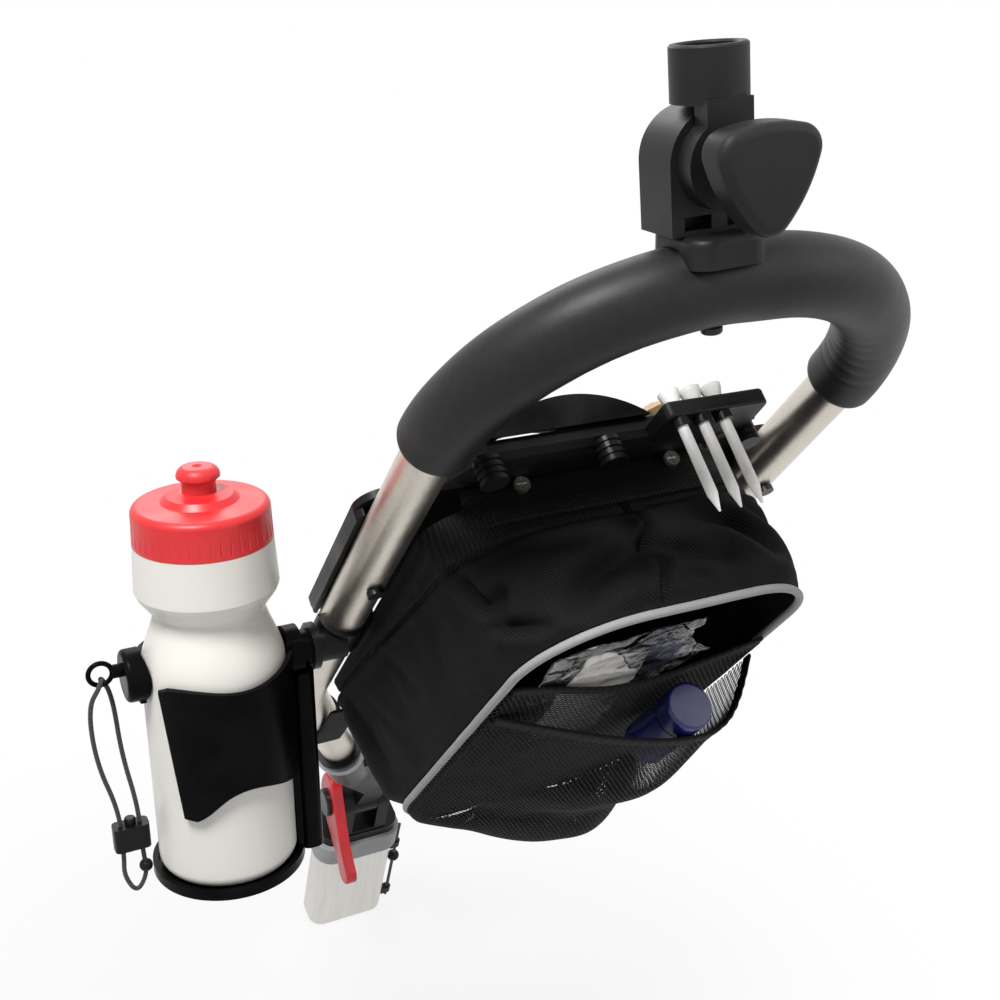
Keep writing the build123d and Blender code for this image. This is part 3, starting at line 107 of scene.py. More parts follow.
class Material:
    """A Principled material with its texture nodes laid on the object's own coordinates."""

    def __init__(self, name, color, roughness, metallic=0.0, **sockets):
        self.material = bpy.data.materials.new(name)
        self.material.use_nodes = True
        self.tree = self.material.node_tree
        self.shader = self.tree.nodes["Principled BSDF"]
        self.color = (*color, 1.0)
        self.shader.inputs["Base Color"].default_value = self.color
        self.shader.inputs["Roughness"].default_value = roughness
        self.shader.inputs["Metallic"].default_value = metallic
        for socket, value in sockets.items():
            self.shader.inputs[socket.replace("_", " ")].default_value = value
        self.coords = self.tree.nodes.new("ShaderNodeTexCoord").outputs["Object"]
        self.height = None

    def node(self, kind, inputs=(), **settings):
        """A node of this material."""
        return add_node(self.tree, kind, inputs, **settings)

    def turned(self, turn=(0, 0, 0), scale=(1, 1, 1)):
        """The coordinates turned, then stretched."""
        first = self.node("Mapping", {"Vector": self.coords, "Rotation": turn})
        return self.node("Mapping", {"Vector": first.outputs[0], "Scale": scale}).outputs[0]

    def noise(self, scale, detail=3.0, vector=None, roughness=0.5):
        """Soft noise from 0 to 1."""
        made = self.node(
            "TexNoise",
            {"Vector": vector or self.coords, "Scale": scale, "Detail": detail, "Roughness": roughness},
        )
        return made.outputs["Fac"]

    def wave(self, scale, vector, direction="X", distortion=0.0, detail_scale=1.0):
        """Bands from 0 to 1 along a direction."""
        made = self.node(
            "TexWave",
            {"Vector": vector, "Scale": scale, "Distortion": distortion, "Detail Scale": detail_scale},
            bands_direction=direction,
        )
        return made.outputs["Fac"]

    def math(self, kind, a, b):
        """Two values taken together."""
        return self.node("Math", {0: a, 1: b}, operation=kind).outputs[0]

    def ramp(self, value, low, high, to_low, to_high):
        """The value's range brought to another one."""
        made = self.node(
            "MapRange",
            {"Value": value, "From Min": low, "From Max": high, "To Min": to_low, "To Max": to_high},
        )
        return made.outputs[0]

    def tint(self, value, low, high, other):
        """Colour moves to the other one as the value goes from low to high."""
        share = self.ramp(value, low, high, 0.0, 1.0)
        linked = self.shader.inputs["Base Color"].links
        before = linked[0].from_socket if linked else self.color
        mixed = self.node("Mix", {"Factor": share, 6: before, 7: (*other, 1.0)}, data_type="RGBA")
        self.tree.links.new(mixed.outputs[2], self.shader.inputs["Base Color"])

    def rough(self, value, low, high, to_low, to_high):
        """Roughness follows the value."""
        self.tree.links.new(self.ramp(value, low, high, to_low, to_high), self.shader.inputs["Roughness"])

    def bump(self, value, depth):
        """Relief, its depth in millimetres."""
        made = self.node("Bump", {"Height": value, "Distance": depth / 1000, "Strength": 1.0})
        if self.height:
            self.tree.links.new(self.height, made.inputs["Normal"])
        self.height = made.outputs[0]
        self.tree.links.new(self.height, self.shader.inputs["Normal"])


def moulded(name, color, roughness, grain=0.06, wear=None, **sockets):
    """Moulded plastic: fine spark grain, slow gloss changes, and wear where it is rubbed."""
    made = Material(name, color, roughness, **sockets)
    fine = made.noise(1400, 2)
    slow = made.noise(38, 3)
    made.bump(fine, grain)
    made.rough(slow, 0.3, 0.7, roughness - 0.07, roughness + 0.09)
    made.tint(slow, 0.42, 0.75, [c * 1.35 + 0.003 for c in color])
    if wear:
        marks = made.noise(95, 6, made.turned(scale=(1.0, 1.0, 0.35)), 0.7)
        made.tint(marks, 0.66, 0.8, wear)
    return made.material


def metal(name, color, roughness, along=(0, 0, 0)):
    """Drawn metal: fine lines along it and slow smudges."""
    made = Material(name, color, roughness, 1.0)
    drawn = made.noise(900, 3, made.turned(along, (1, 1, 0.02)))
    smudge = made.noise(26, 4)
    made.bump(drawn, 0.012)
    made.rough(smudge, 0.3, 0.75, roughness - 0.05, roughness + 0.1)
    made.tint(drawn, 0.35, 0.8, [c * 0.86 for c in color])
    return made.material


def wave_scale(pitch):
    """Scale of a wave texture whose bands are about a pitch apart, in millimetres."""
    return 1000 / (pi * pitch)


def twill(name, color):
    """Woven polyester on the cloth's own coordinates: diagonal ribs crossed by finer yarns, the ribs with
    a painted highlight.
    """
    rib_pitch = 1.25
    yarn_pitch = rib_pitch / 1.7
    rib_slant = radians(38)
    relief = 0.16
    roughness = 0.68
    made = Material(name, color, roughness, Specular_IOR_Level=0.03)
    cloth = made.node("Attribute", attribute_type="GEOMETRY", attribute_name="cloth").outputs["Vector"]
    slant = made.node("Mapping", {"Vector": cloth, "Rotation": (0, 0, rib_slant)}).outputs[0]
    ribs = made.wave(wave_scale(rib_pitch), slant, "X", 0.5, 2.0)
    yarns = made.wave(wave_scale(yarn_pitch), slant, "Y", 0.4, 2.0)
    weave = made.math("MULTIPLY", ribs, made.ramp(yarns, 0, 1, 0.55, 1.0))
    slow = made.noise(24, 4)
    # Painted highlight: the raised ribs are painted lighter than the hollows of the weave.
    made.tint(weave, 0.25, 0.9, [c * 2.4 + 0.002 for c in color])
    made.tint(slow, 0.5, 0.85, [c * 1.4 + 0.001 for c in color])
    made.rough(weave, 0.0, 1.0, roughness + 0.12, roughness - 0.12)
    made.bump(weave, relief)
    return made.material


def basket(name, color, pitch, relief, roughness=0.75, yarn_top_highlight=1.9, shine=0.16):
    """Plain basket weave: yarns over and under at right angles, with a painted highlight that makes the
    yarn tops lighter.
    """
    made = Material(name, color, roughness, Specular_IOR_Level=shine)
    flat = made.turned((handle_slope - pi / 2, 0, 0))
    across, down, up = [made.wave(wave_scale(pitch), flat, way, 0.25) for way in "XYZ"]
    weave = made.math("MULTIPLY", across, made.math("MAXIMUM", down, up))
    slow = made.noise(40, 4)
    # Painted highlight: the raised yarn tops are painted lighter than the cloth's colour, by the given
    # multiple.
    made.tint(weave, 0.1, 0.9, [c * yarn_top_highlight + 0.002 for c in color])
    made.tint(slow, 0.55, 0.9, [c * 1.3 + 0.001 for c in color])
    made.bump(weave, relief)
    return made.material


def braid(name, color):
    """Braided cord: slanting strands round it, their crowns with a painted highlight."""
    pitch = 1.6
    made = Material(name, color, 0.7, Sheen_Weight=0.3)
    one, two = [
        made.wave(wave_scale(pitch), made.turned((side * 0.7, side * 0.6, 0)), "Z") for side in (1, -1)
    ]
    both = made.math("MAXIMUM", one, two)
    # Painted highlight: the strands' crowns are painted lighter than the cord's colour.
    made.tint(both, 0.4, 1.0, [c * 2.4 + 0.006 for c in color])
    made.bump(both, 0.25)
    return made.material


mats = {
    "silver_tube": metal("silver_tube", (0.68, 0.63, 0.56), 0.36, (pi / 2 - handle_slope, 0, 0)),
    "silver_beam": metal("silver_beam", (0.70, 0.68, 0.65), 0.4, (beam_slope - pi / 2, 0, 0)),
    "steel": metal("steel", (0.86, 0.85, 0.83), 0.42),
    "black_steel": moulded("black_steel", (0.018, 0.018, 0.02), 0.36, 0.03, Metallic=0.6),
    "grey_plastic": moulded("grey_plastic", (0.27, 0.28, 0.29), 0.5),
    "black_plastic": moulded(
        "black_plastic", (0.0045, 0.0045, 0.0054), 0.35, 0.07, Specular_IOR_Level=0.16
    ),
    "gloss_black": moulded("gloss_black", (0.004, 0.004, 0.0048), 0.25, 0.03, Specular_IOR_Level=0.2),
    "satin_black": moulded("satin_black", (0.010, 0.010, 0.011), 0.46, 0.07, Specular_IOR_Level=0.22),
    "matte_black": moulded("matte_black", (0.004, 0.004, 0.0045), 0.62, 0.07, Specular_IOR_Level=0.14),
    "screw_steel": moulded("screw_steel", (0.5, 0.48, 0.44), 0.3, 0.02, Metallic=0.75),
    "cage_black": moulded("cage_black", (0.002, 0.002, 0.0024), 0.27, 0.04, Specular_IOR_Level=0.04),
    "red_plastic": moulded("red_plastic", (0.46, 0.009, 0.015), 0.3, 0.03),
    "cord_black": braid("cord_black", (0.012, 0.012, 0.014)),
    "bag_fabric": twill("bag_fabric", (0.0098, 0.0098, 0.0102)),
    "webbing": basket("webbing", (0.0042, 0.0042, 0.0047), 1.9, 0.5, yarn_top_highlight=3.6),
    "elastic": basket("elastic", (0.0042, 0.0042, 0.0047), 0.9, 0.2),
    "net": basket("net", (0.010, 0.010, 0.0105), 0.5, 0.1, roughness=0.55, shine=0.3),
    "piping": basket("piping", (0.36, 0.36, 0.37), 0.6, 0.12, yarn_top_highlight=1.3),
    "tee_white": moulded("tee_white", (0.86, 0.85, 0.82), 0.33, 0.03, (0.78, 0.765, 0.72)),
    "blue": moulded("blue", (0.006, 0.011, 0.11), 0.22, 0.03),
}


def foam_material():
    """Foam rubber: open cells under a wrinkled skin."""
    made = Material("foam", (0.012, 0.012, 0.0122), 0.54, Specular_IOR_Level=0.26)
    cells = made.noise(2600, 2)
    skin = made.noise(210, 5, None, 0.6)
    slow = made.noise(20, 3)
    made.bump(skin, 0.1)
    made.bump(cells, 0.035)
    made.rough(slow, 0.3, 0.75, 0.38, 0.55)
    made.tint(skin, 0.45, 0.75, (0.017, 0.017, 0.018))
    return made.material


def white_bottle():
    """Squeezable white plastic, a little scuffed, that lets some light in."""
    made = Material(
        "white_plastic", (0.85, 0.825, 0.77), 0.36, Subsurface_Weight=0.25, Subsurface_Scale=0.004
    )
    made.shader.inputs["Subsurface Radius"].default_value = (1.0, 0.95, 0.9)
    slow = made.noise(30, 3)
    scuff = made.noise(150, 5, made.turned(scale=(1, 1, 0.25)), 0.7)
    made.rough(slow, 0.3, 0.7, 0.3, 0.44)
    made.bump(made.noise(900, 2), 0.015)
    made.bump(slow, 0.25)
    made.tint(scuff, 0.64, 0.8, (0.81, 0.80, 0.77))
    return made.material


def red_cap():
    """Red cap plastic that lets a little light in."""
    made = Material("red_cap", (0.72, 0.024, 0.03), 0.38, Subsurface_Weight=0.15, Subsurface_Scale=0.003)
    made.shader.inputs["Subsurface Radius"].default_value = (1.0, 0.25, 0.2)
    slow = made.noise(45, 3)
    made.rough(slow, 0.3, 0.7, 0.32, 0.48)
    made.tint(slow, 0.45, 0.8, (0.78, 0.04, 0.045))
    made.bump(made.noise(1100, 2), 0.03)
    return made.material


def pencil_wood():
    """Bare wood, its grain along the pencil."""
    made = Material("pencil_wood", (0.70, 0.51, 0.30), 0.5)
    grain = made.noise(240, 4, made.turned((-handle_slope, 0, 0), (1, 0.05, 1)))
    made.tint(grain, 0.4, 0.75, (0.55, 0.37, 0.2))
    made.bump(grain, 0.05)
    return made.material


def clear_film():
    """Thin clear film with fine crinkles."""
    made = Material("clear", (0.97, 0.975, 0.98), 0.05, Transmission_Weight=1.0, IOR=1.3)
    made.bump(made.noise(90, 4), 0.6)
    made.rough(made.noise(45, 3), 0.3, 0.7, 0.02, 0.1)
    return made.material


def card_material():
    """White card with faint fibres."""
    made = Material("card", (0.66, 0.64, 0.60), 0.6)
    fibre = made.noise(700, 4)
    made.tint(fibre, 0.45, 0.75, (0.58, 0.56, 0.52))
    made.bump(fibre, 0.03)
    return made.material


mats["foam"] = foam_material()
mats["white_plastic"] = white_bottle()
mats["red_cap"] = red_cap()
mats["pencil_wood"] = pencil_wood()
mats["clear"] = clear_film()
mats["card"] = card_material()

slots = {part["node"]: part["material_slot"] for part in frame["record"]["subparts"]}
finishes = {
    "clamp_knob": "satin_black",
    "umbrella_block": "satin_black",
    "umbrella_saddle": "satin_black",
    "umbrella_socket": "satin_black",
    "bottle_cage": "cage_black",
    "console_nose": "matte_black",
    "band_screws": "screw_steel",
}
for name, obj in nodes.items():
    obj.data.materials.clear()
    obj.data.materials.append(mats[finishes.get(name, slots[name])])


# Mesh helpers


def add_mesh(name, points, faces, material):
    """A smooth-shaded piece from its points, in metres, and faces."""
    mesh = bpy.data.meshes.new(name)
    mesh.from_pydata([tuple(p) for p in points], [], faces)
    mesh.validate()
    mesh.polygons.foreach_set("use_smooth", [True] * len(mesh.polygons))
    obj = bpy.data.objects.new(name, mesh)
    bpy.context.scene.collection.objects.link(obj)
    mesh.materials.append(mats[material])
    return obj


def grid_faces(rows, columns, close_rows=False, close_columns=False):
    """Faces of a grid of points listed row by row."""
    faces = []
    for r in range(rows if close_rows else rows - 1):
        for c in range(columns if close_columns else columns - 1):
            a = r * columns + c
            b = r * columns + (c + 1) % columns
            below = ((r + 1) % rows) * columns
            faces.append((a, b, below + (c + 1) % columns, below + c))
    return faces


def pair_faces(rows, columns, start=0):
    """Faces of two grids of points, one listed after the other, closed round their edges."""
    size = rows * columns
    lower = [tuple(start + i for i in face) for face in grid_faces(rows, columns)]
    upper = [tuple(i + size for i in reversed(face)) for face in lower]
    rim = list(range(columns))
    rim += [r * columns + columns - 1 for r in range(1, rows)]
    rim += [(rows - 1) * columns + c for c in range(columns - 2, -1, -1)]
    rim += [r * columns for r in range(rows - 2, 0, -1)]
    rim = [start + i for i in rim]
    walls = [(a, b, b + size, a + size) for a, b in zip(rim, rim[1:] + rim[:1])]
    return lower + upper + walls


def stand_for(obj, body, node):
    """The piece moves with a body and is shown in place of a node."""
    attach(obj, body)
    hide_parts(node)


def solidify(obj, thickness, offset):
    """Gives a sheet its thickness, in millimetres."""
    made = obj.modifiers.new("thickness", "SOLIDIFY")
    made.thickness = thickness / 1000
    made.offset = offset
    made.use_even_offset = True


def outward(obj):
    """Faces turned the same way, outwards on a closed piece."""
    made = bmesh.new()
    made.from_mesh(obj.data)
    bmesh.ops.recalc_face_normals(made, faces=made.faces)
    made.to_mesh(obj.data)
    made.free()
    return obj


def cord_piece(name, points, radius):
    """A round cord along one smooth line by its control points."""
    data = bpy.data.curves.new(name, "CURVE")
    data.dimensions = "3D"
    data.resolution_u = 8
    data.bevel_depth = radius / 1000
    data.bevel_resolution = 5
    data.use_fill_caps = True
    line = data.splines.new("NURBS")
    line.points.add(len(points) - 1)
    for control, point in zip(line.points, points):
        control.co = (*point, 1.0)
    line.order_u = 3
    line.use_endpoint_u = True
    obj = bpy.data.objects.new(name, data)
    bpy.context.scene.collection.objects.link(obj)
    data.materials.append(mats["cord_black"])
    return obj


# Cords
lanyard_d = 2.5
beam_line_d = 2.8
# The lanyard's way from the eyelet down through its lock, round and back, from the bottle's base.
lanyard_route = [
    (-58.4, -0.6, 119.8),
    (-59.6, -4.8, 118.8),
    (-67.0, -4.4, 108.0),
    (-65.6, -1.6, 74.0),
    (-56.8, 0.0, 42.0),
    (-56.8, 0.0, 14.0),
    (-58.0, 0.4, 2.0),
    (-52.0, 0.2, -11.0),
    (-45.4, -0.2, 1.0),
    (-46.8, 0.0, 14.0),
    (-46.8, 0.0, 42.0),
    (-51.8, 3.0, 74.0),
    (-52.6, 5.6, 106.0),
    (-57.2, 5.0, 118.8),
    (-58.4, 0.6, 119.8),
]
lanyard_line = [bottle_base + Vector(p) / 1000 for p in lanyard_route]
lanyard = cord_piece("lanyard_cord", lanyard_line, lanyard_d / 2)
stand_for(lanyard, "cage", "lanyard")

beam_route = [beam(40, -6, z) for z in (2, 20, 45, 70, 95, 108)]
beam_line = cord_piece("beam_line", beam_route, beam_line_d / 2)
stand_for(beam_line, "beam", "beam_cord")


def spline_length(obj):
    """Length of a cord's own line, without its thickness."""
    copy = obj.copy()
    copy.data = obj.data.copy()
    copy.data.bevel_depth = 0
    bpy.context.scene.collection.objects.link(copy)
    bpy.context.view_layer.update()
    mesh = bpy.data.meshes.new_from_object(copy.evaluated_get(bpy.context.evaluated_depsgraph_get()))
    points = [vertex.co.copy() for vertex in mesh.vertices]
    length = sum((b - a).length for a, b in zip(points, points[1:]))
    bpy.data.objects.remove(copy)
    bpy.data.meshes.remove(mesh)
    return length


spline_length(lanyard)
spline_length(beam_line)

# Foam grip: a swept sleeve, creased where it is squeezed on the inside of its bends
leg_x = 111.0
arch_r = 103.0
grip_r = 18.0
grip_end_r = 15.4
grip_bore_r = 12.62
lip_length = 3.2
crease_depth_max = 0.3
crease_width = 1.9
foam_wander = 0.28


def grip_path(count):
    """Centre line of the grip with its direction, from the left end to the right one."""
    quarter = arch_r * pi / 2
    flat = 2 * (leg_x - arch_r)
    total = 2 * quarter + flat
    line = []
    for i in range(count):
        s = total * i / (count - 1)
        if s < quarter:
            turn = s / arch_r
            heading = pi / 2 - turn
            x = -leg_x + arch_r - arch_r * cos(turn)
            v = arch_r - arch_r * sin(turn)
        elif s < quarter + flat:
            heading = 0.0
            x = -leg_x + arch_r + s - quarter
            v = 0.0
        else:
            turn = (s - quarter - flat) / arch_r
            heading = -turn
            x = leg_x - arch_r + arch_r * sin(turn)
            v = arch_r - arch_r * cos(turn)
        line.append((x, v, heading, s))
    return line, total


def round_grip(x, v, heading, radius, angle):
    """Place round the grip's line: angle 0 faces the inside of its bend."""
    inward = radius * cos(angle)
    return loop(x + inward * sin(heading), v + inward * cos(heading), radius * sin(angle))


def grip():
    """Points and faces of the sleeve, closed on to the tube at both ends."""
    rings, around = 260, 72
    line, total = grip_path(rings)
    # Creases by their places along the grip and shares of the depth: deep at the right, faint at the left.
    creases = [(total - 24 - 9.5 * i, 1.0 - 0.09 * i) for i in range(10)]
    creases += [(30 + 14 * i, 0.35) for i in range(7)]
    points = []
    for x, v, heading, s in line:
        end = min(s, total - s)
        lip = 1 - (1 - min(1.0, end / lip_length)) ** 2
        for k in range(around):
            angle = 2 * pi * k / around
            inward = cos(angle)
            out = sin(angle)
            radius = grip_end_r + (grip_r - grip_end_r) * sqrt(max(0.0, lip))
            radius += foam_wander * ripple(x, v, grip_r * out, 26, 3.1) * min(1.0, end / 12)
            for place, share in creases:
                bent = s + 3.2 * ripple(x, grip_r * out, place, 22, 7.7)
                dent = exp(-((bent - place) / crease_width) ** 2)
                squeezed = smooth(0.05, 0.75, inward + 0.25 * ripple(place, 4, 9, 10, 1.3))
                radius -= crease_depth_max * share * dent * squeezed * min(1.0, end / 10)
            points.append(round_grip(x, v, heading, radius, angle))
    faces = grid_faces(rings, around, close_columns=True)
    for ring in (0, rings - 1):
        start = len(points)
        for k in range(around):
            points.append(round_grip(*line[ring][:3], grip_bore_r, 2 * pi * k / around))
        base = ring * around
        for k in range(around):
            j = (k + 1) % around
            faces.append((base + k, base + j, start + j, start + k))
    return points, faces


grip_points, grip_faces = grip()
sleeve = outward(add_mesh("grip_sleeve", grip_points, grip_faces, "foam"))
stand_for(sleeve, "handle", "foam_grip")


def curve_through(points):
    """Smooth line through points, as a natural cubic spline; gives its height at a place."""
    xs = [p[0] for p in points]
    ys = [p[1] for p in points]
    count = len(points)
    upper, right, bend = [0.0] * count, [0.0] * count, [0.0] * count
    for i in range(1, count - 1):
        before = xs[i] - xs[i - 1]
        after = xs[i + 1] - xs[i]
        main = 2 * (before + after) - before * upper[i - 1]
        upper[i] = after / main
        jump = 6 * ((ys[i + 1] - ys[i]) / after - (ys[i] - ys[i - 1]) / before)
        right[i] = (jump - before * right[i - 1]) / main
    for i in range(count - 2, 0, -1):
        bend[i] = right[i] - upper[i] * bend[i + 1]

    def height(x):
        """Height of the line, kept level past its ends."""
        x = min(max(x, xs[0]), xs[-1])
        i = max(k for k in range(count - 1) if k == 0 or xs[k] <= x)
        span = xs[i + 1] - xs[i]
        a = (xs[i + 1] - x) / span
        b = 1 - a
        curl = (a ** 3 - a) * bend[i] + (b ** 3 - b) * bend[i + 1]
        return a * ys[i] + b * ys[i + 1] + curl * span ** 2 / 6

    return height


# Bag: a lofted shell of cloth between the tray and its piped mouth
back_half, back_v, back_n, back_corner = 95.0, (171.5, 418.0), -3.0, 30.0
front_half, front_v, front_n, front_corner = 80.0, (128.0, 426.0), -88.0, 52.0
bag_depth = back_n - front_n
girth = 850.0


def rounded(half, ends, corner, share):
    """Point of a rounded rectangle, going round it once from the middle of its upper edge."""
    low, high = ends
    side = half - corner
    height = high - low - 2 * corner
    arc = corner * pi / 2
    s = (share % 1.0) * (4 * side + 2 * height + 4 * arc)
    top, bottom = low + corner, high - corner

    def bend(x, v, turn):
        """Place on the corner about a centre, the turn from pointing up, clockwise."""
        return lambda t: (x + corner * sin(turn + t / corner), v - corner * cos(turn + t / corner))

    runs = [
        (side, lambda t: (t, low)),
        (arc, bend(side, top, 0)),
        (height, lambda t: (half, top + t)),
        (arc, bend(side, bottom, pi / 2)),
        (2 * side, lambda t: (side - t, high)),
        (arc, bend(-side, bottom, pi)),
        (height, lambda t: (-half, bottom - t)),
        (arc, bend(-side, top, 3 * pi / 2)),
        (side, lambda t: (-side + t, low)),
    ]
    for length, point in runs:
        if s <= length:
            return point(s)
        s -= length
    return (0.0, low)


def bag_shape(share, depth):
    """Place on the bag's loft, before its cloth is folded."""
    half = back_half + (front_half - back_half) * depth
    ends = [back_v[i] + (front_v[i] - back_v[i]) * depth for i in (0, 1)]
    corner = back_corner + (front_corner - back_corner) * depth
    x, v = rounded(half, ends, corner, share)
    n = back_n + (front_n - back_n) * depth
    return x, v, n


# Where the webbing ends: places round the bag from the middle of its top, each with a share of its depth.
seam_at = curve_through(
    [
        (-430, 0.07),
        (-300, 0.09),
        (-158, 0.24),
        (-99, 0.30),
        (-66, 0.295),
        (-36, 0.255),
        (0, 0.255),
        (40, 0.235),
        (90, 0.27),
        (158, 0.24),
        (300, 0.09),
        (430, 0.07),
    ]
)
# The sewn line down the middle of the top wanders as the cloth is pulled.
middle_at = curve_through([(0.0, 8), (0.22, 3), (0.4, 3), (0.52, -5), (0.72, -8), (0.9, -17), (1.0, -18)])
# Creases by their places round the bag and down its depth, with depth and width in millimetres.
bag_creases = [
    ([(-102, 0.32), (-99, 0.52), (-95, 0.62), (-84, 0.59)], 6.2, 3.4),
    ([(-84, 0.59), (-95, 0.76), (-74, 0.89)], 5.6, 3.4),
    ([(-7, 0.56), (-27, 0.64), (-46, 0.74), (-57, 0.83)], 8.0, 6.2),
    ([(-5, 0.58), (12, 0.66), (28, 0.74)], 6.6, 5.2),
    ([(32, 0.42), (48, 0.5), (60, 0.74)], 6.2, 5.0),
    ([(-31, 0.82), (-28, 0.97)], 2.2, 2.4),
    ([(4, 0.82), (11, 0.92)], 2.2, 2.4),
    ([(62, 0.36), (82, 0.62), (88, 0.84)], 5.0, 4.8),
    ([(-150, 0.36), (-166, 0.5), (-178, 0.68)], 1.4, 5.0),
    ([(-122, 0.44), (-132, 0.66)], 1.2, 4.4),
    ([(-226, 0.3), (-214, 0.62)], 1.3, 5.5),
    ([(-262, 0.74), (-284, 0.4)], 1.2, 5.0),
    ([(214, 0.34), (232, 0.66)], 2.6, 5.5),
    ([(140, 0.4), (158, 0.7)], 3.0, 5.0),
]
# Places where the cloth stands full, each with its reach and height in millimetres.
bag_puffs = [
    ((-48, 0.5), 24, 6.0),
    ((-30, 0.84), 22, 3.6),
    ((24, 0.5), 18, 3.6),
    ((-118, 0.8), 26, 3.4),
]
# Heights of the folds and seams, in millimetres. Widths and places at the webbing's seam are shares of the
# bag's depth, and those at the middle seam are millimetres.
top_rise = 2.6
corner_sag = 9.0
broad_fold, small_fold, fine_fold = 3.0, 1.3, 0.35
seam_dip, seam_width = 2.8, 0.016
roll_rise, roll_at, roll_width = 2.2, 0.055, 0.032
stitch_dip, pucker_dip, stitch_width = 2.8, 1.0, 1.7
swell_rise, swell_at, swell_width = 1.9, 5.5, 3.0


def crease_depth(here, path, width):
    """Share of a crease at a place: 1 in its valley, with a ridge along its upper side."""
    best = None
    total = len(path) - 1
    for i, (first, last) in enumerate(zip(path, path[1:])):
        start = Vector((first[0], bag_depth * first[1]))
        run = Vector((last[0], bag_depth * last[1])) - start
        along = min(1.0, max(0.0, (here - start).dot(run) / run.length_squared))
        gap = here - start - run * along
        if best is None or gap.length < best[0]:
            best = (gap.length, run.x * gap.y - run.y * gap.x > 0, (i + along) / total)
    beside, left, share = best
    if beside > 5 * width:
        return 0.0
    fade = sin(pi * (0.14 + 0.72 * share))
    valley = exp(-((beside / width) ** 2))
    ridge = exp(-(((beside - 2.3 * width) / (1.4 * width)) ** 2)) * (0.55 if left else 0.3)
    return (valley - ridge) * fade


def bag_fold(place, x, v, n, depth, out):
    """How far the cloth stands out of its loft: folds, seams and sag, in millimetres."""
    seam = seam_at(place)
    here = Vector((place, bag_depth * depth))
    up = smooth(0.4, 0.9, -out.y)
    edge = smooth(0.0, 0.1, 1 - depth)
    free = smooth(seam, seam + 0.16, depth) * edge
    slack = smooth(0.02, 0.3, depth) * smooth(0.0, 0.14, 1 - depth)
    move = top_rise * up + broad_fold * ripple(x, v, n, 46, 5.2)
    move += small_fold * ripple(x, v, n * 0.45, 21, 9.4)
    move *= free
    move += fine_fold * ripple(x, v, n, 11, 1.1) * smooth(0.0, 0.2, depth)
    move += corner_sag * max(0.0, 2 * abs(out.x) * out.y) * slack
    move -= seam_dip * exp(-(((depth - seam) / seam_width) ** 2))
    move += roll_rise * exp(-(((depth - seam - roll_at) / roll_width) ** 2)) * edge
    for (puff_place, puff_depth), reach, size in bag_puffs:
        gap = here - Vector((puff_place, bag_depth * puff_depth))
        move += size * exp(-((gap.x / reach) ** 2) - ((gap.y / (0.55 * reach)) ** 2)) * edge
    for path, size, width in bag_creases:
        move -= size * crease_depth(here, path, width) * smooth(0.0, 0.05, 1 - depth)
    aside = place - middle_at(depth)
    if abs(aside) < 30:
        pucker = 0.5 + 0.5 * sin(n * 1.1 + 2 * ripple(0, 0, n, 9, 3.3))
        sewn = smooth(0.04, 0.12, depth) * smooth(0, 0.05, 1 - depth)
        move -= (stitch_dip + pucker_dip * pucker) * exp(-((aside / stitch_width) ** 2)) * sewn
        move += swell_rise * exp(-(((abs(aside) - swell_at) / swell_width) ** 2)) * free
    return move


def bag():
    """Points and faces of the cloth and its back, the places on it, and how many faces are webbing."""
    around, webbing_rows, rows, inner = 540, 20, 74, 9
    beside = 0.002
    points, cloth = [], []
    for r in range(rows):
        for k in range(around):
            share = k / around
            place = girth * (share if share < 0.5 else share - 1)
            seam = seam_at(place)
            if r < webbing_rows:
                depth = seam * r / webbing_rows
            else:
                depth = seam + (1 - seam) * (r - webbing_rows) / (rows - 1 - webbing_rows)
            x, v, n = bag_shape(share, depth)
            x0, v0, _ = bag_shape(share - beside, depth)
            x1, v1, _ = bag_shape(share + beside, depth)
            out = Vector((v1 - v0, x0 - x1)).normalized()
            move = bag_fold(place, x, v, n, depth, out)
            points.append((x + out.x * move, v + out.y * move, n))
            cloth.append((place / 1000, bag_depth * depth / 1000, 0.0))
    faces = grid_faces(rows, around, close_columns=True)
    last = list(range(around))
    middle = (back_v[0] + back_v[1]) / 2
    for step in range(1, inner):
        scale = 1 - step / inner
        start = len(points)
        for k in range(around):
            x, v, n = bag_shape(k / around, 0)
            sag = 1.5 * (1 - scale) + 0.8 * ripple(x * scale, v * scale, 0, 40, 7.2)
            points.append((x * scale, middle + (v - middle) * scale, n - sag))
            cloth.append((x * scale / 1000, v * scale / 1000, 0.0))
        ring = list(range(start, start + around))
        for k in range(around):
            j = (k + 1) % around
            faces.append((last[k], ring[k], ring[j], last[j]))
        last = ring
    faces.append(tuple(last))
    return [loop(*p) for p in points], faces, cloth, around * webbing_rows


bag_points, bag_faces, bag_places, webbing_faces = bag()
bag_cloth = outward(add_mesh("bag_cloth", bag_points, bag_faces, "bag_fabric"))
weave_places = bag_cloth.data.attributes.new("cloth", "FLOAT_VECTOR", "POINT")
weave_places.data.foreach_set("vector", [value for spot in bag_places for value in spot])
bag_cloth.data.materials.append(mats["webbing"])
for polygon in bag_cloth.data.polygons[:webbing_faces]:
    polygon.material_index = 1
cloth_thickness = 1.3
solidify(bag_cloth, cloth_thickness, -1.0)
stand_for(bag_cloth, "handle", "bag_shell")


def ring_mesh(path, radius, around):
    """Points and faces of a round tube along a closed line in the loop's own coordinates."""
    points = []
    count = len(path)
    for i, here in enumerate(path):
        along = (Vector(path[(i + 1) % count]) - Vector(path[i - 1])).normalized()
        first = along.cross(Vector((0, 0, 1))).normalized()
        second = along.cross(first)
        for k in range(around):
            angle = 2 * pi * k / around
            points.append(Vector(here) + first * (radius * cos(angle)) + second * (radius * sin(angle)))
    faces = grid_faces(count, around, close_rows=True, close_columns=True)
    return [loop(*p) for p in points], faces


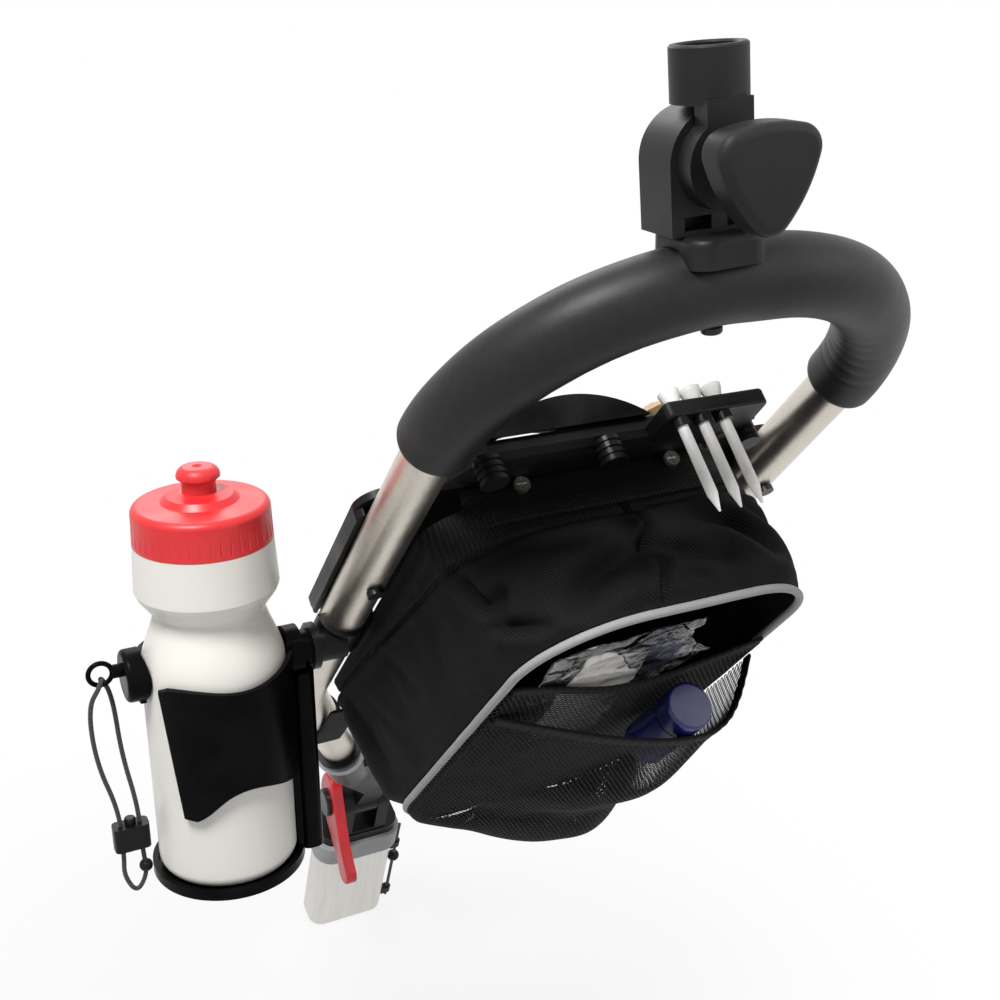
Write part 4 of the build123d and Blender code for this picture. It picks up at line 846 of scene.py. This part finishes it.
piping_r = 2.15
piping_inset = 1.0
piping_n = front_n - 2.25
piping_wander = 0.35
piping_count = 360
piping_line = []
for i in range(piping_count):
    ends = (front_v[0] + piping_inset, front_v[1] - piping_inset)
    x, v = rounded(front_half - piping_inset, ends, front_corner - piping_inset, i / piping_count)
    moved_x = x + piping_wander * ripple(x, v, 0, 17, 2)
    moved_v = v + piping_wander * ripple(v, x, 5, 17, 4)
    piping_line.append((moved_x, moved_v, piping_n))
points, faces = ring_mesh(piping_line, piping_r, 14)
piping = outward(add_mesh("mouth_piping", points, faces, "piping"))
stand_for(piping, "handle", "bag_piping")

# Webbing band along the top of the bag
band_profile = [(171.7, 6.8), (170.8, 3.0), (169.0, -2.0), (164.6, -10.0), (160.4, -18.0)]
band_half = 76.0
band_thickness = 1.8
band_rows, band_columns = 17, 77


def band_point(x, t):
    """Place on the band: across it, and a share of its depth from the tray to its sewn edge."""
    place_t = t * (len(band_profile) - 1)
    i = min(int(place_t), len(band_profile) - 2)
    part = place_t - i
    v = band_profile[i][0] * (1 - part) + band_profile[i + 1][0] * part
    n = band_profile[i][1] * (1 - part) + band_profile[i + 1][1] * part
    wave = 0.5 * ripple(x, n, 0, 24, 6.1) * t
    depth = max(0.0, (n - back_n) / (front_n - back_n))
    corner = back_corner + (front_corner - back_corner) * depth
    past = max(0.0, abs(x) - (back_half + (front_half - back_half) * depth - corner))
    drop = (corner - sqrt(corner ** 2 - past ** 2)) * smooth(0.15, 0.6, t)
    sink = 2.4 * smooth(band_half - 12, band_half, abs(x)) * smooth(0.2, 0.45, t)
    sink += 2.0 * smooth(0.78, 1.0, t)
    return x, v - 0.3 - wave + drop + sink, n


points = []
for r in range(band_rows):
    for c in range(band_columns):
        x = -band_half + 2 * band_half * c / (band_columns - 1)
        points.append(loop(*band_point(x, r / (band_rows - 1))))
band = outward(add_mesh("band_webbing", points, grid_faces(band_rows, band_columns), "webbing"))
solidify(band, band_thickness, 1.0 if band.data.polygons[0].normal.dot(leg_down) > 0 else -1.0)
stand_for(band, "handle", "bag_band")

# Nets: knitted cells as real strands over the pockets
net_half = 76.0
net_cell = 3.0
net_row = 0.78 * net_cell
inner_edge, outer_edge, rim_n = -94.0, -97.0, -92.6
outer_peak_x, inner_peak_x = 24.0, 0.0
fullness = 0.62
# How far out each net stands along its peak, down the bag.
outer_rows = [
    (219.2, -131.0),
    (228.2, -130.8),
    (268.0, -134.0),
    (325.0, -134.0),
    (380.0, -129.0),
    (415.0, -117.0),
    (425.4, -91.4),
]
inner_rows = [
    (202.4, -100.6),
    (209.4, -100.4),
    (270.0, -101.4),
    (340.0, -101.4),
    (396.0, -99.5),
    (424.0, -92.4),
]


def bulge(peak, right):
    """Share of a net's fullness across the bag, 0 at its edges and 1 at its peak."""
    return curve_through(
        [
            (-net_half, 0.0),
            ((peak - net_half) / 2, fullness),
            (peak, 1.0),
            ((peak + net_half) / 2, right),
            (net_half, 0.0),
        ]
    )


outer_bulge, inner_bulge = bulge(outer_peak_x, 0.84), bulge(inner_peak_x, fullness)
outer_peak, inner_peak = curve_through(outer_rows), curve_through(inner_rows)


def rim_half(v):
    """Half width of the bag's mouth at a place down it."""
    past = max(0.0, v - (front_v[1] - front_corner))
    return front_half - front_corner + sqrt(max(0.0, front_corner ** 2 - past ** 2))


def net_place(x, v, edge, peak, share):
    """Place on a net: it bulges over the mouth and comes back to the piping at its edges."""
    close = smooth(net_half, net_half + 3, abs(x))
    n = edge + (peak(v) - edge) * share(x)
    n += close * (rim_n - edge)
    return x * min(1.0, rim_half(v) / front_half), v, n


def outer_net_place(x, v):
    """Place on the outer net, a little wavy below its edge."""
    x, v, n = net_place(x, v, outer_edge, outer_peak, outer_bulge)
    n += 1.2 * ripple(x, v, 0, 22, 8.3) * smooth(228, 245, v) * smooth(0, 14, net_half - abs(x))
    return x, v, n


def hem_rise(x):
    """How far the inner pocket's edge is pulled up towards the left of the mouth."""
    return 15.0 * smooth(-14, -net_half, x)


def inner_net_place(x, v):
    """Place on the inner net, pulled up at the left with its edge."""
    risen = v - hem_rise(x) * smooth(262, 209, v)
    x, v, n = net_place(x, v, inner_edge, inner_peak, inner_bulge)
    return x, risen, n + 0.4 * ripple(x, v, 3, 30, 2.2)


def even_rows(peak, low, high):
    """Places down a net by the length of cloth above them, so that its cells keep their size."""
    table = [(0.0, low)]
    for i in range(1, 401):
        v = low + (high - low) * i / 400
        before = table[-1][1]
        table.append((table[-1][0] + sqrt((v - before) ** 2 + (peak(v) - peak(before)) ** 2), v))
    return table[-1][0], curve_through(table[::8])


def net_piece(name, node, surface, peak, ends, strand, weight):
    """Knitted net: six-sided cells over a surface, each edge a strand with its share of the thickness."""
    points, index, faces, weights = [], {}, [], []
    low, high = ends
    length, place_at = even_rows(peak, low, high)
    rows = int(length / net_row - 0.3) + 1
    reach = net_half + 2.5
    columns = int(2 * reach / net_cell)

    def corner(a, b):
        """Corner of the cells' lattice: a in half cells across, b in sixths of two rows down."""
        key = (a, b)
        if key not in index:
            x = -reach + a * net_cell / 2
            v = place_at(min(length, b * net_row / 6))
            x = max(-reach, min(reach, x))
            v = max(low, min(high, v))
            x += 0.12 * net_cell * ripple(a, b, 0, 5.3, 1.7)
            index[key] = len(points)
            points.append(loop(*surface(x, v)))
            weights.append(weight(x, v))
        return index[key]

    for r in range(rows):
        for c in range(columns - (r % 2)):
            a = 2 * c + 1 + (r % 2)
            b = 6 * r + 4
            faces.append(
                (
                    corner(a, b - 4),
                    corner(a + 1, b - 2),
                    corner(a + 1, b + 2),
                    corner(a, b + 4),
                    corner(a - 1, b + 2),
                    corner(a - 1, b - 2),
                )
            )
    obj = add_mesh(name, points, faces, "net")
    wire = obj.modifiers.new("strands", "WIREFRAME")
    wire.thickness = strand / 1000
    wire.use_even_offset = False
    wire.use_boundary = True
    wire.use_replace = True
    group = obj.vertex_groups.new(name="strand")
    for i, share in enumerate(weights):
        group.add([i], share, "REPLACE")
    wire.vertex_group = "strand"
    wire.thickness_vertex_group = 0.0
    stand_for(obj, "handle", node)
    return obj


def outer_share(x, v):
    """Share of the strands' thickness: the net is gathered under the pocket, less so at its left."""
    under = smooth(370, 392, v)
    return 0.24 + 0.76 * under * (1 - 0.85 * smooth(-26, -46, x))


def inner_share(x, v):
    """The same for the inner net: its lower part, behind the pocket, is the thicker."""
    return 0.44 + 0.56 * smooth(262, 312, v)


outer_net = net_piece(
    "outer_mesh",
    "outer_net",
    surface=outer_net_place,
    peak=outer_peak,
    ends=(226.8, outer_rows[-1][0]),
    strand=2.5,
    weight=outer_share,
)
inner_net = net_piece(
    "inner_mesh",
    "inner_net",
    surface=inner_net_place,
    peak=inner_peak,
    ends=(208.4, inner_rows[-1][0]),
    strand=1.4,
    weight=inner_share,
)


def hem_piece(name, node, edge, peak, share, ends, wave, rise):
    """Elastic band: a flat ribbon folded over the net's edge, gathered a little."""
    low, high = ends
    half_thickness = 1.15
    around, columns = 16, 145
    points = []
    profile = []
    for k in range(around):
        angle = 2 * pi * k / around
        c, s = cos(angle), sin(angle)
        profile.append((abs(c) ** 0.35 * (1 if c > 0 else -1), abs(s) ** 0.6 * (1 if s > 0 else -1)))
    for i in range(columns):
        x = -net_half + 2 * net_half * i / (columns - 1)
        n = edge + (peak - edge) * share(x)
        gather = wave * sin(i * 1.35 + 1.2 * ripple(i, 0, 0, 7, 3)) * smooth(0, 10, net_half - abs(x))
        for c, s in profile:
            v = (low + high) / 2 + c * (high - low) / 2 + gather * 0.3 - rise(x)
            points.append(loop(x, v, n + 1.2 + s * half_thickness + gather * 0.25))
    faces = grid_faces(columns, around, close_columns=True)
    faces.append(tuple(range(around)))
    faces.append(tuple(range((columns - 1) * around, columns * around)))
    obj = outward(add_mesh(name, points, faces, "elastic"))
    stand_for(obj, "handle", node)
    return obj


outer_hem = hem_piece(
    "outer_elastic",
    "outer_hem",
    edge=outer_edge,
    peak=-131.4,
    share=outer_bulge,
    ends=(219.2, 228.0),
    wave=0.7,
    rise=lambda x: 0,
)
inner_hem = hem_piece(
    "inner_elastic",
    "inner_hem",
    edge=inner_edge,
    peak=-101.0,
    share=inner_bulge,
    ends=(202.4, 209.2),
    wave=0.5,
    rise=hem_rise,
)

# Straps from the bag round the legs, below the bends where the legs run in to the yoke
bend_v = 405.0
leg_end_x, leg_end_v = 36.0, 606.0
leg_run = sqrt((leg_x - leg_end_x) ** 2 + (leg_end_v - bend_v) ** 2)
leg_in = ((leg_x - leg_end_x) / leg_run, (leg_end_v - bend_v) / leg_run)
strap_at = 70.0
tail_x, tail_half, tail_v, tail_length = 84.0, 10.0, 421.0, 62.0
tail_n, tail_thickness = -14.5, 1.7
# The strap's section: places across it, each with its distance from the leg's middle.
strap_section = [
    (-10.6, 12.65),
    (-10.8, 13.6),
    (-10.2, 14.3),
    (-5, 14.45),
    (5, 14.45),
    (10.2, 14.3),
    (10.8, 13.6),
    (10.6, 12.65),
]


def strap_piece(name, turn, node):
    """Webbing: a loop round the leg with a tail to the bag."""
    ring_middle = Vector((turn * (leg_x - leg_in[0] * strap_at), bend_v + leg_in[1] * strap_at, 0))
    along = Vector((-turn * leg_in[0], leg_in[1], 0))
    across = Vector((leg_in[1], turn * leg_in[0], 0))
    points = []
    around = 48
    for k in range(around):
        angle = 2 * pi * k / around
        for s, r in strap_section:
            r += 0.25 * ripple(k, s, 0, 5, 2.5) if r > 13 else 0
            here = ring_middle + along * s
            here += across * (r * cos(angle)) + Vector((0, 0, r * sin(angle)))
            points.append(loop(*here))
    faces = grid_faces(around, len(strap_section), close_rows=True, close_columns=True)
    start = len(points)
    rows, columns = 23, 7
    for side in (0, 1):
        for r in range(rows):
            for c in range(columns):
                v = tail_v + tail_length * r / (rows - 1)
                x = turn * tail_x - tail_half + 2 * tail_half * c / (columns - 1)
                sag = 1.0 * sin(pi * r / (rows - 1)) + 0.5 * ripple(x, v, 0, 20, 5)
                edge = 0.35 if c in (0, columns - 1) else 0.0
                n = tail_n - sag * 0.4 + (edge if side == 0 else tail_thickness - edge)
                points.append(loop(x, v, n))
    faces += pair_faces(rows, columns, start)
    obj = outward(add_mesh(name, points, faces, "webbing"))
    stand_for(obj, "handle", node)
    return obj


strap_left = strap_piece("strap_left", -1, "left_strap")
strap_right = strap_piece("strap_right", 1, "right_strap")

# Clear packet: a card in a crinkled film pouch, with loose flaps at its top
packet_back = -97.2
film_grid = 1.5


def packet_place(spot, x, v, n):
    """Place on a layer of the packet, along its own edges from its middle."""
    middle_x, middle_v, turn, middle_n = spot
    turned_x = x * cos(turn) - v * sin(turn)
    turned_v = x * sin(turn) + v * cos(turn)
    return loop(middle_x + turned_x, middle_v + turned_v, max(packet_back, middle_n + n))


def packet_fold(x, v, seed):
    """Sharp folds of the film, out of its flat shape."""
    coarse = abs(ripple(x * 0.6, v, seed, 17, 4.4))
    return 2.6 * coarse + 1.3 * abs(ripple(x, v * 0.7, seed, 7, 1.9)) - 1.2


def film_layer(spot, width, height, seed):
    """Film pouch: two crumpled layers closed at their edges."""
    rows, columns = int(height / film_grid), int(width / film_grid)
    points = []
    for side in (-1, 1):
        for r in range(rows):
            for c in range(columns):
                s, t = c / (columns - 1), r / (rows - 1)
                x = width * (s - 0.5)
                v = height * (t - 0.5)
                puff = min(1.0, 7 * min(s, 1 - s)) * min(1.0, 7 * min(t, 1 - t))
                fold = packet_fold(x, v, seed)
                x += 2.6 * ripple(v, x, seed, 13, 2.1) * (1 - puff)
                v += 2.6 * ripple(v, x, seed, 13, 6.1) * (1 - puff)
                points.append(packet_place(spot, x, v, side * (0.12 + 0.5 * puff) + fold))
    return points, pair_faces(rows, columns)


# Where each layer lies: its middle across and down, its turn, and its middle outwards.
packet_spot = (-16.0, 246.0, radians(-8), -93.6)
# Each layer's place, width, height and the seed of its folds.
film_layers = [
    (packet_spot, 78, 204, 0.0),
    ((-4.0, 172.0, radians(-34), -94.6), 34, 56, 3.0),
    ((9.0, 190.0, radians(-56), -93.4), 30, 50, 6.0),
]
points, faces = [], []
for layer in film_layers:
    layer_points, layer_faces = film_layer(*layer)
    faces += [tuple(i + len(points) for i in face) for face in layer_faces]
    points += layer_points
film = outward(add_mesh("packet_film", points, faces, "clear"))
stand_for(film, "handle", "clear_packet")

card_low, card_high = -84, 88
card_left, card_right = -24, 20
card_taper = -30
card_rows, card_columns = 90, 24
points = []
for r in range(card_rows):
    for c in range(card_columns):
        v = card_low + (card_high - card_low) * r / (card_rows - 1)
        x = card_left + (card_right - card_left) * c / (card_columns - 1)
        x *= 0.8 + 0.2 * smooth(card_low, card_taper, v)
        v += 9 * sin(x / 16) * smooth(card_taper, card_low, v)
        points.append(packet_place(packet_spot, x, v, packet_fold(x, v, 0.0)))
card = add_mesh("packet_card", points, grid_faces(card_rows, card_columns), "card")
solidify(card, 0.3, 0.0)
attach(card, "handle")

# Stage, light and camera
scene = bpy.context.scene
scene.view_settings.view_transform = "Standard"


def background_rays(tree):
    """1 where the camera, a reflection or a clear piece looks at the background, and 0 for its light."""
    path = add_node(tree, "LightPath")
    seen = path.outputs["Is Camera Ray"]
    for other in ("Is Transmission Ray", "Is Glossy Ray"):
        seen = add_node(tree, "Math", {0: seen, 1: path.outputs[other]}, operation="MAXIMUM").outputs[0]
    return seen


def pale(name, color):
    """Pale floor that turns to plain white away from the part."""
    shadow_middle = (-0.05, -0.1, cad_low[2])
    fade_from, fade_to = 0.12, 0.55
    least_white = 0.86
    made = Material(name, color, 0.9)
    far = made.node("VectorMath", {0: made.coords, 1: shadow_middle}, operation="DISTANCE")
    fade = made.node(
        "MapRange",
        {"Value": far.outputs["Value"], "From Min": fade_from, "From Max": fade_to, "To Min": least_white},
        interpolation_type="SMOOTHSTEP",
    )
    share = made.math("MULTIPLY", fade.outputs[0], background_rays(made.tree))
    white = made.node("Emission")
    mixed = made.node("MixShader", {0: share, 1: made.shader.outputs[0], 2: white.outputs[0]})
    made.tree.links.new(mixed.outputs[0], made.tree.nodes["Material Output"].inputs["Surface"])
    return made.material


floor_z = cad_low[2] - 0.002
floor_half, floor_front, floor_back = 9, -7, 14
floor_corners = [
    (-floor_half, floor_front, floor_z),
    (floor_half, floor_front, floor_z),
    (floor_half, floor_back, floor_z),
    (-floor_half, floor_back, floor_z),
]
floor_mesh = bpy.data.meshes.new("floor")
floor_mesh.from_pydata(floor_corners, [], [(0, 1, 2, 3)])
floor = bpy.data.objects.new("floor", floor_mesh)
scene.collection.objects.link(floor)
floor_mesh.materials.append(pale("floor", (0.62, 0.62, 0.62)))

world_light, world_seen = 0.25, 1.0
world = bpy.data.worlds.new("world")
scene.world = world
world.use_nodes = True
tree = world.node_tree
sky = tree.nodes["Background"]
sky.inputs["Color"].default_value = (1, 1, 1, 1)
level = add_node(
    tree, "MapRange", {"Value": background_rays(tree), "To Min": world_light, "To Max": world_seen}
)
tree.links.new(level.outputs[0], sky.inputs["Strength"])

middle = loop(-40, 200, -20)


def lamp(name, offset, size, power):
    """Round lamp that faces the middle of the part; offset and size in metres, power in watts."""
    light = bpy.data.lights.new(name, "AREA")
    light.shape = "DISK"
    light.size = size
    light.energy = power
    obj = bpy.data.objects.new(name, light)
    scene.collection.objects.link(obj)
    obj.location = middle + Vector(offset)
    obj.rotation_euler = (middle - obj.location).to_track_quat("-Z", "Y").to_euler()


lamp("key", (-0.8, -0.5, 1.65), 0.7, 41)
lamp("fill", (1.3, -1.2, 0.9), 1.4, 9)
lamp("back", (0.3, 1.6, 1.2), 1.2, 12)

camera_data = bpy.data.cameras.new("camera")
camera_data.lens = 50.4
camera_data.sensor_width = 36
camera = bpy.data.objects.new("camera", camera_data)
scene.collection.objects.link(camera)
camera_place = loop_top + Vector((-0.346, -0.463, 0.112))
rough_right = Vector((0.891, -0.4535, -0.004)).normalized()
forward = Vector((0.42, 0.841, -0.344)).normalized()
up = rough_right.cross(forward).normalized()
right = forward.cross(up)
camera_turn = Matrix((right, up, -forward)).transposed()
camera.matrix_world = Matrix.Translation(camera_place) @ camera_turn.to_4x4()
scene.camera = camera
